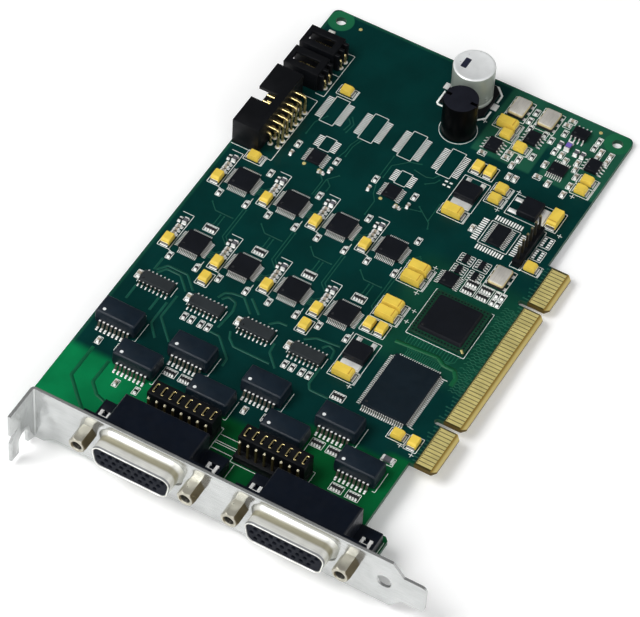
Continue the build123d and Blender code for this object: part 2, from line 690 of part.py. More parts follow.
with BuildPart() as locking_header_pins:
    for mid_x in LOCKING_MID_X:
        for x in lock_columns:
            tail_y = lock_back_y - LOCKING_TAIL_GAP
            bent_pin(mid_x + x, lock_front_y - LOCKING_PIN_RECESS, tail_y, LOCKING_PIN_Z)
save(locking_header_pins, "locking_header_pins")

# Jumper headers with a ganged block over two of the three pin columns
jumper_half_y = JUMPER_ROWS * HEADER_PITCH / 2
jumper_half_x = JUMPER_COLUMNS * HEADER_PITCH / 2
block_x = JUMPER_X + HEADER_PITCH / 2
roof_bottom = JUMPER_BLOCK_TOP - JUMPER_BLOCK_ROOF
link_half = HEADER_PITCH / 2 + PIN_SQUARE / 2
for letter, mid_y in zip("ab", JUMPER_Y):
    rows_y = [mid_y + (i - (JUMPER_ROWS - 1) / 2) * HEADER_PITCH for i in range(JUMPER_ROWS)]
    x_span = (JUMPER_X - jumper_half_x, JUMPER_X + jumper_half_x)
    y_span = (mid_y - jumper_half_y, mid_y + jumper_half_y)
    with BuildPart() as jumper_base:
        solid_block(x_span, y_span, (0, HEADER_BASE))
    save(jumper_base, f"jumper_header_{letter}_base")

    with BuildPart() as jumper_pins:
        for column in range(JUMPER_COLUMNS):
            x = JUMPER_X + (column - (JUMPER_COLUMNS - 1) / 2) * HEADER_PITCH
            pin_top = JUMPER_PIN_TOP if column == 0 else roof_bottom - JUMPER_LINK_FOOT
            with BuildSketch(Plane.XY.offset(HEADER_BASE)):
                with Locations(*((x, y) for y in rows_y)):
                    Rectangle(PIN_SQUARE, PIN_SQUARE)
            extrude(amount=pin_top - HEADER_BASE)
    save(jumper_pins, f"jumper_header_{letter}_pins")

    with BuildPart() as jumper_block:
        solid_block((block_x - HEADER_PITCH, block_x + HEADER_PITCH), y_span, (HEADER_BASE, JUMPER_BLOCK_TOP))
        solid_block(
            (block_x - HEADER_PITCH + JUMPER_BLOCK_WALL, block_x + HEADER_PITCH - JUMPER_BLOCK_WALL),
            (y_span[0] + JUMPER_BLOCK_WALL, y_span[1] - JUMPER_BLOCK_WALL),
            (HEADER_BASE, roof_bottom),
            Mode.SUBTRACT,
        )
        with BuildSketch(Plane.XY.offset(roof_bottom)):
            with Locations(*((block_x, y) for y in rows_y)):
                Rectangle(2 * (link_half + PIN_CLEARANCE), JUMPER_LINK_WIDTH + 2 * PIN_CLEARANCE)
        extrude(amount=JUMPER_BLOCK_ROOF, mode=Mode.SUBTRACT)
    save(jumper_block, f"jumper_block_{letter}")

    with BuildPart() as jumper_links:
        for y in rows_y:
            with BuildSketch(side_plane(block_x, y, False)):
                with BuildLine():
                    Polyline(
                        (-link_half, roof_bottom - JUMPER_LINK_FOOT),
                        (-link_half, roof_bottom + JUMPER_LINK_HEIGHT),
                        (link_half, roof_bottom + JUMPER_LINK_HEIGHT),
                        (link_half, roof_bottom - JUMPER_LINK_FOOT),
                        (link_half - PIN_SQUARE, roof_bottom - JUMPER_LINK_FOOT),
                        (link_half - PIN_SQUARE, roof_bottom),
                        (PIN_SQUARE - link_half, roof_bottom),
                        (PIN_SQUARE - link_half, roof_bottom - JUMPER_LINK_FOOT),
                        close=True,
                    )
                make_face()
            extrude(amount=JUMPER_LINK_WIDTH / 2, both=True)
    save(jumper_links, f"jumper_links_{letter}")

# Single-row service header
service_half = SERVICE_PINS * HEADER_PITCH / 2
with BuildPart() as service_header_base:
    solid_block(
        (SERVICE_X - service_half, SERVICE_X + service_half),
        (SERVICE_Y - HEADER_PITCH / 2, SERVICE_Y + HEADER_PITCH / 2),
        (0, HEADER_BASE),
    )
save(service_header_base, "service_header_base")

with BuildPart() as service_header_pins:
    with BuildSketch(Plane.XY.offset(HEADER_BASE)):
        with Locations((SERVICE_X, SERVICE_Y)):
            with GridLocations(HEADER_PITCH, HEADER_PITCH, SERVICE_PINS, 1):
                Rectangle(PIN_SQUARE, PIN_SQUARE)
    extrude(amount=SERVICE_PIN_TOP - HEADER_BASE)
save(service_header_pins, "service_header_pins")

# Electrolytic capacitor on its moulded base
with BuildPart() as capacitor_can:
    with BuildSketch(Plane.XY.offset(CAN_BASE_THICK)):
        with Locations((CAN_X, CAN_Y)):
            Circle(CAN_D / 2)
    extrude(amount=CAN_TOP - CAN_BASE_THICK)
    chamfer(capacitor_can.faces().sort_by(Axis.Z)[-1].edges(), CAN_EDGE)
save(capacitor_can, "capacitor_can")

with BuildPart() as capacitor_base:
    moulded_body(CAN_X, CAN_Y, CAN_BASE, CAN_BASE, 0, CAN_BASE_THICK, 0)
    chamfer(capacitor_base.edges().filter_by(Axis.Z).group_by(Axis.Y)[0], CAN_BASE_CHAMFER)
save(capacitor_base, "capacitor_base")

with BuildPart() as capacitor_terminals:
    terminal_x = (CAN_X - CAN_TERMINAL_WIDTH / 2, CAN_X + CAN_TERMINAL_WIDTH / 2)
    low_y = CAN_Y - CAN_BASE / 2
    high_y = CAN_Y + CAN_BASE / 2
    solid_block(terminal_x, (low_y - CAN_TERMINAL_LENGTH, low_y), (0, CAN_TERMINAL_THICK))
    solid_block(terminal_x, (high_y, high_y + CAN_TERMINAL_LENGTH), (0, CAN_TERMINAL_THICK))
save(capacitor_terminals, "capacitor_terminals")

# Sleeved choke with two wire notches in its top
with BuildPart() as choke:
    with BuildSketch(Plane.XY):
        with Locations((CHOKE_X, CHOKE_Y)):
            Circle(CHOKE_D / 2)
    extrude(amount=CHOKE_HEIGHT)
    for side in (-1, 1):
        notch_y = CHOKE_Y + side * (CHOKE_D / 2 - CHOKE_NOTCH_LENGTH / 2)
        solid_block(
            (CHOKE_X - CHOKE_NOTCH_WIDTH / 2, CHOKE_X + CHOKE_NOTCH_WIDTH / 2),
            (notch_y - CHOKE_NOTCH_LENGTH / 2, notch_y + CHOKE_NOTCH_LENGTH / 2),
            (CHOKE_HEIGHT - CHOKE_NOTCH_DEPTH, CHOKE_HEIGHT),
            Mode.SUBTRACT,
        )
save(choke, "choke")

# Coupling transformers in two staggered columns
number = 0
for x, top_inset in zip(TRANSFORMER_X, TRANSFORMER_TOP_INSET):
    for row in range(ROW_COUNT):
        number += 1
        y = BOARD_HEIGHT - top_inset - row * TRANSFORMER_ROW_PITCH
        with BuildPart() as transformer:
            size = (TRANSFORMER_WIDTH, TRANSFORMER_LENGTH, 0, TRANSFORMER_HEIGHT)
            moulded_body(x, y, *size, TRANSFORMER_DRAFT)
        save(transformer, f"transformer_{number}")

# Receiver chips in two columns and the driver chips beside the transformers
number = 0
for x in RECEIVER_X:
    for row in range(ROW_COUNT):
        number += 1
        with BuildPart() as receiver:
            moulded_body(x, row_y(row), RECEIVER_SIZE, RECEIVER_SIZE, 0, RECEIVER_HEIGHT)
        save(receiver, f"receiver_chip_{number}")

with BuildPart() as driver_chips:
    for row in range(ROW_COUNT):
        moulded_body(DRIVER_X, row_y(row) + DRIVER_SHIFT_Y, DRIVER_WIDTH, DRIVER_LENGTH, 0, DRIVER_HEIGHT)
save(driver_chips, "driver_chips")

# Memory chip and ball-grid logic chip
with BuildPart() as memory_chip:
    moulded_body(MEMORY_X, MEMORY_Y, MEMORY_LENGTH, MEMORY_WIDTH, 0, RECEIVER_HEIGHT)
save(memory_chip, "memory_chip")

with BuildPart() as logic_chip:
    moulded_body(LOGIC_X, LOGIC_Y, LOGIC_SIZE, LOGIC_SIZE, 0, LOGIC_BASE_THICK, 0)
    cap = (LOGIC_CAP_SIZE, LOGIC_CAP_SIZE, LOGIC_BASE_THICK, LOGIC_CAP_HEIGHT, LOGIC_CAP_DRAFT)
    moulded_body(LOGIC_X, LOGIC_Y, *cap)
save(logic_chip, "logic_chip")

# Regulators: moulded bodies, then their metal tabs and leads
with BuildPart() as regulator_bodies:
    for x, y, turned in REGULATORS:
        length = REGULATOR_WIDTH if turned else REGULATOR_LENGTH
        width = REGULATOR_LENGTH if turned else REGULATOR_WIDTH
        moulded_body(x, y, length, width, 0, REGULATOR_METAL, 0)
        moulded_body(x, y, length, width, REGULATOR_METAL, REGULATOR_HEIGHT - REGULATOR_METAL)
save(regulator_bodies, "regulator_bodies")

with BuildPart() as regulator_tabs:
    for x, y, turned in REGULATORS:
        spot = Plane(origin=(x, y, 0), x_dir=(0, 1, 0) if turned else (1, 0, 0), z_dir=(0, 0, 1))
        with BuildSketch(spot):
            with Locations((-REGULATOR_LENGTH / 2 - REGULATOR_TAB_REACH / 2, 0)):
                Rectangle(REGULATOR_TAB_REACH, REGULATOR_TAB_WIDTH)
            with Locations((REGULATOR_LENGTH / 2 + REGULATOR_LEAD_REACH / 2, 0)):
                with GridLocations(1, REGULATOR_LEAD_PITCH, 1, 2):
                    Rectangle(REGULATOR_LEAD_REACH, REGULATOR_LEAD_WIDTH)
        extrude(amount=REGULATOR_METAL)
save(regulator_tabs, "regulator_tabs")

# Oscillators: ceramic base with a metal lid
with BuildPart() as oscillators:
    lid_length = OSCILLATOR_LENGTH - 2 * OSCILLATOR_RIM
    lid_width = OSCILLATOR_WIDTH - 2 * OSCILLATOR_RIM
    for x, y in OSCILLATORS:
        moulded_body(x, y, OSCILLATOR_LENGTH, OSCILLATOR_WIDTH, 0, OSCILLATOR_BASE, 0)
        moulded_body(x, y, lid_length, lid_width, OSCILLATOR_BASE, OSCILLATOR_HEIGHT - OSCILLATOR_BASE)
save(oscillators, "oscillators")


def tantalum(x, y, along_y, case):
    """Moulded tantalum capacitor with a bevel over its positive end, made in the current part."""
    length, width, height = case
    with BuildSketch(side_plane(x, y, along_y)) as profile:
        with BuildLine():
            Polyline(
                (-length / 2, 0),
                (length / 2, 0),
                (length / 2, height),
                (TANTALUM_BEVEL - length / 2, height),
                (-length / 2, height - TANTALUM_BEVEL),
                close=True,
            )
        make_face()
    extrude(profile.sketch, amount=width / 2, both=True)


# Tantalum capacitors: one beside each receiver, two more in the first column, the rest by place
row_tantalums = [
    (x + ROW_TANTALUM_SHIFT_X, row_y(row) + ROW_TANTALUM_SHARE * ROW_PITCH, 0)
    for x in RECEIVER_X
    for row in range(ROW_COUNT)
]
extra_tantalums = [
    (RECEIVER_X[0] + EXTRA_TANTALUM_SHIFT_X, row_y(row) + ROW_TANTALUM_SHARE * ROW_PITCH, 0)
    for row in (1, 3)
]
top_edge_tantalums = [(x, BOARD_HEIGHT - inset, 1) for x, inset in TOP_EDGE_TANTALUMS]
with BuildPart() as tantalum_small:
    for x, y, along_y in (*row_tantalums, *extra_tantalums, *top_edge_tantalums, *SMALL_PLACES):
        tantalum(x, y, along_y, SMALL_TANTALUM)
save(tantalum_small, "tantalum_capacitors_small")

with BuildPart() as tantalum_large:
    for x, y, along_y in LARGE_PLACES:
        tantalum(x, y, along_y, LARGE_TANTALUM)
save(tantalum_large, "tantalum_capacitors_large")

# Small chips and chip passives
with BuildPart() as small_chips:
    for x, y, length, width, height in SMALL_CHIPS:
        moulded_body(x, y, length, width, 0, height)
save(small_chips, "small_chips")

with BuildPart() as chip_passives:
    for x in RECEIVER_X:
        for row in range(ROW_COUNT):
            for shift_x, shift_y, length, width, height in ROW_PASSIVES:
                moulded_body(x + shift_x, row_y(row) + shift_y, length, width, 0, height, 0)
    indicator = (INDICATOR_SIZE, INDICATOR_SIZE, 0, INDICATOR_HEIGHT)
    moulded_body(BOARD_FAR_X - INDICATOR_INSET_X, BOARD_HEIGHT - INDICATOR_INSET_Y, *indicator)
save(chip_passives, "chip_passives")
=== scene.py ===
import functools
import json
import logging
import math
import random
from collections.abc import Callable, Iterable, Sequence
from dataclasses import dataclass, field
from enum import Enum

import bmesh
import bpy
import numpy as np
from mathutils import Matrix, Vector

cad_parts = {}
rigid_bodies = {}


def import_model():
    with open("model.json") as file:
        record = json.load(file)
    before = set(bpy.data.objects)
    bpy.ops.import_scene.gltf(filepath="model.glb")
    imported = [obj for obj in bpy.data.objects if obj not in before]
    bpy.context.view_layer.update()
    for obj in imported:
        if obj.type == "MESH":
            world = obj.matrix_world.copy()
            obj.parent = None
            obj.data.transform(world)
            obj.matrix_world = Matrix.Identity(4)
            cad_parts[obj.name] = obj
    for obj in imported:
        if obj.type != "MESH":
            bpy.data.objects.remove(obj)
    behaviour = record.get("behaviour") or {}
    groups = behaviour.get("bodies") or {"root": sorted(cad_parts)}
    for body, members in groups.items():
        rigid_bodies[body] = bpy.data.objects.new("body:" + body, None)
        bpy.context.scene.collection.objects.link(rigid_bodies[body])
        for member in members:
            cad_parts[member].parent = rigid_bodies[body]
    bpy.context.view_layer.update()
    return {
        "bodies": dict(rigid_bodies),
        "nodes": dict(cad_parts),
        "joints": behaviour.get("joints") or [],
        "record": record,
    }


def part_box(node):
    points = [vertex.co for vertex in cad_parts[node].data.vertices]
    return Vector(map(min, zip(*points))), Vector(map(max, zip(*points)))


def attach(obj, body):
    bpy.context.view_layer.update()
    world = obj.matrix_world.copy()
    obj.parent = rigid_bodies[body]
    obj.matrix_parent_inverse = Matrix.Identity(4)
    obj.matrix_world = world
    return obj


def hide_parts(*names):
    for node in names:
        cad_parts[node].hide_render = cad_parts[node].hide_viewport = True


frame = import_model()

# Lengths are in millimetres, and MM turns them into the scene's metres
MM = 0.001
BODY = "root"
BOARD_THICK = 1.57
HEADER_PITCH = 2.54
LEAD_PITCH = 1.27
FINE_PITCH = 0.65
CHANNELS = range(1, 9)
NEAR_CHANNELS = CHANNELS[:4]
DSUB_ROWS = (9, 9, 8)
DSUB_PITCH = 2.29
MARK_DEPTH = 0.06
ORIGIN = (0.0, 0.0)
UP = (0.0, 0.0, 1.0)
Flat = tuple[float, float]
Point = tuple[float, float, float]
Colour = tuple[float, float, float]
Line = tuple[Flat, ...]
Mesh = bpy.types.Mesh
Thing = bpy.types.Object
Tree = bpy.types.NodeTree
Socket = bpy.types.NodeSocket
log = logging.getLogger("sound_card")


class Slot(Enum):
    """Material slots of the record."""

    MASK = "solder_mask"
    GOLD = "gold_plate"
    NICKEL = "nickel_steel"
    TIN = "tin_plate"
    PLASTIC = "connector_plastic"
    ALUMINIUM = "can_aluminium"
    SLEEVE = "choke_sleeve"
    TRANSFORMER = "transformer_epoxy"
    CHIP = "chip_epoxy"
    TANTALUM = "tantalum_resin"
    CERAMIC = "passive_ceramic"


class Side(Enum):
    """Way that a lead, a pad row or a marked end points on the board."""

    EAST = 0
    NORTH = 1
    WEST = 2
    SOUTH = 3

    @property
    def angle(self) -> float:
        """Turn about Z, in radians, that takes east to this side."""
        return self.value * math.pi / 2

    def off(self, centre: Sequence[float], out: float, along: float = 0.0) -> Flat:
        """Find the place at a distance from a centre.

        Args:
            centre: Middle along X and Y.
            out: Distance towards this side.
            along: Distance a quarter turn on from this side.

        Returns:
            The place along X and Y.
        """
        steps = ((out, along), (-along, out), (-out, -along), (along, -out))
        step_x, step_y = steps[self.value]
        return centre[0] + step_x, centre[1] + step_y


ACROSS = (Side.EAST, Side.WEST)
UPRIGHT = (Side.NORTH, Side.SOUTH)


class Face(Enum):
    """Face of the circuit board, with the height of its surface."""

    COMPONENT = 0.0
    SOLDER = -BOARD_THICK

    @property
    def outward(self) -> int:
        """Sign of the direction that leaves the board."""
        return 1 if self is Face.COMPONENT else -1


@dataclass(frozen=True)
class Box:
    """Lowest and highest corner of a solid or a footprint."""

    lo: Point
    hi: Point

    @property
    def mid(self) -> Point:
        """Middle of the box."""
        return tuple((low + high) / 2 for low, high in zip(self.lo, self.hi))

    @property
    def size(self) -> Point:
        """Length of the box along X, Y and Z."""
        return tuple(high - low for low, high in zip(self.lo, self.hi))

    @property
    def runs_along_y(self) -> bool:
        """Whether the box is longer along Y than along X."""
        return self.size[1] > self.size[0]

    def outline(self, margin_x: float = 0.0, margin_y: float | None = None) -> list[Flat]:
        """Corners of the box seen from above, with a margin round it.

        Args:
            margin_x: Margin to the west and to the east.
            margin_y: Margin to the south and to the north, if it is another one.

        Returns:
            The four corners, counter-clockwise.
        """
        margin_y = margin_x if margin_y is None else margin_y
        west, south = self.lo[0] - margin_x, self.lo[1] - margin_y
        east, north = self.hi[0] + margin_x, self.hi[1] + margin_y
        return [(west, south), (east, south), (east, north), (west, north)]

    @classmethod
    def around(cls, centre: Sequence[float], size: Flat, low: float = 0.0, high: float = 0.0) -> "Box":
        """Box between two heights, with its middle and its lengths along X and Y."""
        (x, y), (half_x, half_y) = centre[:2], (size[0] / 2, size[1] / 2)
        return cls((x - half_x, y - half_y, low), (x + half_x, y + half_y, high))

    @classmethod
    def of(cls, node: str) -> "Box":
        """Box of a whole CAD node."""
        low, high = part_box(node)
        return cls(tuple(v / MM for v in low), tuple(v / MM for v in high))


@functools.cache
def solids(node: str) -> tuple[Box, ...]:
    """Find the separate solids of a CAD node.

    Args:
        node: Name of the node.

    Returns:
        One box for each solid, in order of its lowest corner.
    """
    mesh = frame["nodes"][node].data
    places = np.empty(len(mesh.vertices) * 3)
    mesh.vertices.foreach_get("co", places)
    places = places.reshape(-1, 3) / MM
    _, joined = np.unique(np.round(places, decimals=3), axis=0, return_inverse=True)
    joined = joined.ravel()
    leader = list(range(int(joined.max()) + 1))

    def find(item: int) -> int:
        """Follow the leaders of a point to the one that stands for its solid.

        Args:
            item: Number of the point.

        Returns:
            Number of the point that leads the solid.
        """
        while leader[item] != item:
            leader[item] = leader[leader[item]]
            item = leader[item]
        return item

    for polygon in mesh.polygons:
        first, *others = (int(joined[index]) for index in polygon.vertices)
        for other in others:
            leader[find(other)] = find(first)
    group = np.array([find(int(item)) for item in joined])
    boxes = []
    for name in np.unique(group):
        own = places[group == name]
        boxes.append(Box(tuple(map(float, own.min(axis=0))), tuple(map(float, own.max(axis=0)))))
    return tuple(sorted(boxes, key=lambda box: box.lo))


class Wiring:
    """Short hand for adding and linking nodes in a shader or geometry tree."""

    def __init__(self, tree: Tree) -> None:
        """Keep the tree that the nodes go into."""
        self.tree = tree

    def plug(self, socket: Socket, feed: object) -> None:
        """Feed an input.

        Args:
            socket: The input.
            feed: An output to link to, or a plain value, where a colour has three parts.
        """
        if isinstance(feed, Socket):
            self.tree.links.new(feed, socket)
        else:
            socket.default_value = (*feed, 1.0) if socket.type == "RGBA" else feed

    def add(self, kind: str, settings: dict[str, object] | None = None, **feeds: object) -> bpy.types.Node:
        """Add a node.

        Args:
            kind: Type name of the node.
            settings: Properties of the node itself.
            **feeds: What goes into each named input, with _ for a space.

        Returns:
            The new node.
        """
        node = self.tree.nodes.new(kind)
        for label, value in (settings or {}).items():
            setattr(node, label, value)
        for label, feed in feeds.items():
            self.plug(node.inputs[label.replace("_", " ")], feed)
        return node

    def math(self, operation: str, *feeds: object) -> Socket:
        """Do a sum.

        Args:
            operation: Name of the sum.
            *feeds: One or two numbers, or more to go on with the result.

        Returns:
            The result.
        """
        node = self.add("ShaderNodeMath", {"operation": operation})
        for socket, feed in zip(node.inputs, feeds[:2]):
            self.plug(socket, feed)
        result = node.outputs[0]
        return self.math(operation, result, *feeds[2:]) if feeds[2:] else result

    def mix(self, share: object, first: object, second: object) -> Socket:
        """Mix two colours.

        Args:
            share: Share of the second colour.
            first: First colour.
            second: Second colour.

        Returns:
            The mixed colour.
        """
        node = self.add("ShaderNodeMix", {"data_type": "RGBA"}, Factor=share)
        colours = [socket for socket in node.inputs if socket.type == "RGBA"]
        for socket, feed in zip(colours, (first, second)):
            self.plug(socket, feed)
        return node.outputs[2]

    def ramp(self, value: object, span: Flat, low: object = 0.0, high: object = 1.0) -> Socket:
        """Ease a number from one level to another.

        Args:
            value: The number.
            span: Where the change starts and where it ends.
            low: Level at the start.
            high: Level at the end.

        Returns:
            The eased level.
        """
        node = self.add("ShaderNodeMapRange", {"interpolation_type": "SMOOTHSTEP"}, Value=value,
                        From_Min=span[0], From_Max=span[1], To_Min=low, To_Max=high)
        return node.outputs["Result"]

    def vary(self, value: Socket, span: Flat, middle: object, spread: object) -> Socket:
        """Ease a number over a span, from a spread below to a spread above a middle level."""
        lower, upper = (self.math(operation, middle, spread) for operation in ("SUBTRACT", "ADD"))
        return self.ramp(value, span, lower, upper)

    def place(self) -> Socket:
        """Coordinates of the object, in metres."""
        return self.add("ShaderNodeTexCoord").outputs["Object"]

    def axes(self) -> Sequence[Socket]:
        """Coordinates of the object along X, Y and Z, in millimetres."""
        return self.add("ShaderNodeSeparateXYZ", Vector=self.scale(self.place(), 1 / MM)).outputs

    def noise(self, scale: object, detail: float, place: Socket | None = None) -> Socket:
        """Level of noise with some features in a metre, over the object or over other coordinates."""
        place = self.place() if place is None else place
        return self.add("ShaderNodeTexNoise", Vector=place, Scale=scale, Detail=detail).outputs["Fac"]

    def scale(self, vector: Socket, factor: object) -> Socket:
        """Scale a vector or a colour and return it."""
        node = self.add("ShaderNodeVectorMath", {"operation": "SCALE"}, Vector=vector, Scale=factor)
        return node.outputs["Vector"]

    def measure(self, operation: str, vector: Socket, other: Point) -> Socket:
        """Measure a vector against a fixed one.

        Args:
            operation: Name of the measure.
            vector: The vector.
            other: The fixed one.

        Returns:
            The measured number.
        """
        node = self.add("ShaderNodeVectorMath", {"operation": operation}, Vector=vector)
        node.inputs[1].default_value = other
        return node.outputs["Value"]

    def facing(self, way: Point = UP) -> Socket:
        """Measure how far the surface looks one way, from -1 to 1."""
        return self.measure("DOT_PRODUCT", self.add("ShaderNodeNewGeometry").outputs["Normal"], way)

    def group(self, tree: Tree, **feeds: object) -> Socket:
        """Place a shared node group, feed its named inputs and return its output."""
        return self.add("ShaderNodeGroup", {"node_tree": tree}, **feeds).outputs[0]


def shader_group(name: str, output: str, *inputs: str) -> tuple[Wiring, Sequence[Socket], Callable]:
    """Start a shader node group whose sockets are numbers, apart from those named Colour.

    Args:
        name: Name of the group.
        output: Name of the one output.
        *inputs: Names of the inputs.

    Returns:
        The group's wiring, its input sockets and a function that wires its output.
    """
    tree = bpy.data.node_groups.new(name, "ShaderNodeTree")
    for label, way in (*((label, "INPUT") for label in inputs), (output, "OUTPUT")):
        kind = "NodeSocketColor" if label == "Colour" else "NodeSocketFloat"
        tree.interface.new_socket(label, in_out=way, socket_type=kind)
    wiring = Wiring(tree)
    source = wiring.add("NodeGroupInput")
    sink = wiring.add("NodeGroupOutput")
    given = [source.outputs[label] for label in inputs]
    return wiring, given, lambda result: tree.links.new(result, sink.inputs[0])


@functools.cache
def grain_group() -> Tree:
    """Fine grain of a moulded or plated surface, as a height for a bump.

    Returns:
        The node group.
    """
    wiring, (scale,), close = shader_group("fine_grain", "Height", "Scale")
    close(wiring.noise(scale, detail=3.0))
    return wiring.tree


@functools.cache
def drift_group() -> Tree:
    """Slow drift of a colour between lighter and darker patches.

    Returns:
        The node group.
    """
    inputs = ("Colour", "Amount", "Scale")
    wiring, (colour, amount, scale), close = shader_group("colour_drift", "Colour", *inputs)
    level = wiring.vary(wiring.noise(scale, detail=4.0), span=(0.3, 0.7), middle=1.0, spread=amount)
    close(wiring.scale(colour, level))
    return wiring.tree


@functools.cache
def polish_group() -> Tree:
    """Uneven polish: a roughness that changes a little from place to place.

    Returns:
        The node group.
    """
    inputs = ("Roughness", "Spread", "Scale")
    wiring, (roughness, spread, scale), close = shader_group("uneven_polish", "Roughness", *inputs)
    close(wiring.vary(wiring.noise(scale, detail=5.0), span=(0.25, 0.75), middle=roughness, spread=spread))
    return wiring.tree


@functools.cache
def dust_group() -> Tree:
    """Light dust that settles on faces that look up.

    Returns:
        The node group.
    """
    pale, inputs = (0.55, 0.55, 0.52), ("Colour", "Amount", "Scale")
    wiring, (colour, amount, scale), close = shader_group("settled_dust", "Colour", *inputs)
    specks = wiring.ramp(wiring.noise(scale, detail=6.0), span=(0.5, 0.75))
    upward = wiring.ramp(wiring.facing(), span=(0.3, 0.9))
    close(wiring.mix(wiring.math("MULTIPLY", specks, upward, amount), colour, pale))
    return wiring.tree


@dataclass(frozen=True)
class Finish:
    """Surface of one kind of piece, made into a material once.

    Scales count pattern features in a metre, and the grain is a height.
    """

    name: str
    slot: Slot
    colour: Colour
    roughness: float
    metallic: float = 0.0
    coat: float = 0.0
    specular: float = 0.5
    drift: float = 0.1
    drift_scale: float = 220.0
    spread: float = 0.07
    spread_scale: float = 600.0
    grain: float = 0.01
    grain_scale: float = 4000.0
    grain_strength: float = 0.6
    dust: float = 0.0
    dust_scale: float = 900.0

    def drifting(self, wiring: Wiring, colour: object) -> Socket:
        """Let a colour drift from place to place and return it."""
        return wiring.group(drift_group(), Colour=colour, Amount=self.drift, Scale=self.drift_scale)

    def paint(self, wiring: Wiring) -> Socket:
        """Wire the colour of the surface in the material's tree and return it."""
        return self.drifting(wiring, self.colour)

    @functools.cache
    def material(self) -> bpy.types.Material:
        """Build the material at the first call.

        Returns:
            The material of this finish.
        """
        made = bpy.data.materials.new(self.name)
        made.use_nodes = True
        wiring = Wiring(made.node_tree)
        colour = self.paint(wiring)
        if self.dust:
            colour = wiring.group(dust_group(), Colour=colour, Amount=self.dust, Scale=self.dust_scale)
        polish = {"Roughness": self.roughness, "Spread": self.spread, "Scale": self.spread_scale}
        bump = wiring.add("ShaderNodeBump", Strength=self.grain_strength, Distance=self.grain * MM,
                          Height=wiring.group(grain_group(), Scale=self.grain_scale))
        feeds = {
            "Base Color": colour, "Roughness": wiring.group(polish_group(), **polish),
            "Metallic": self.metallic, "Coat Weight": self.coat, "Specular IOR Level": self.specular,
            "Normal": bump.outputs["Normal"],
        }
        for label, feed in feeds.items():
            wiring.plug(made.node_tree.nodes["Principled BSDF"].inputs[label], feed)
        return made


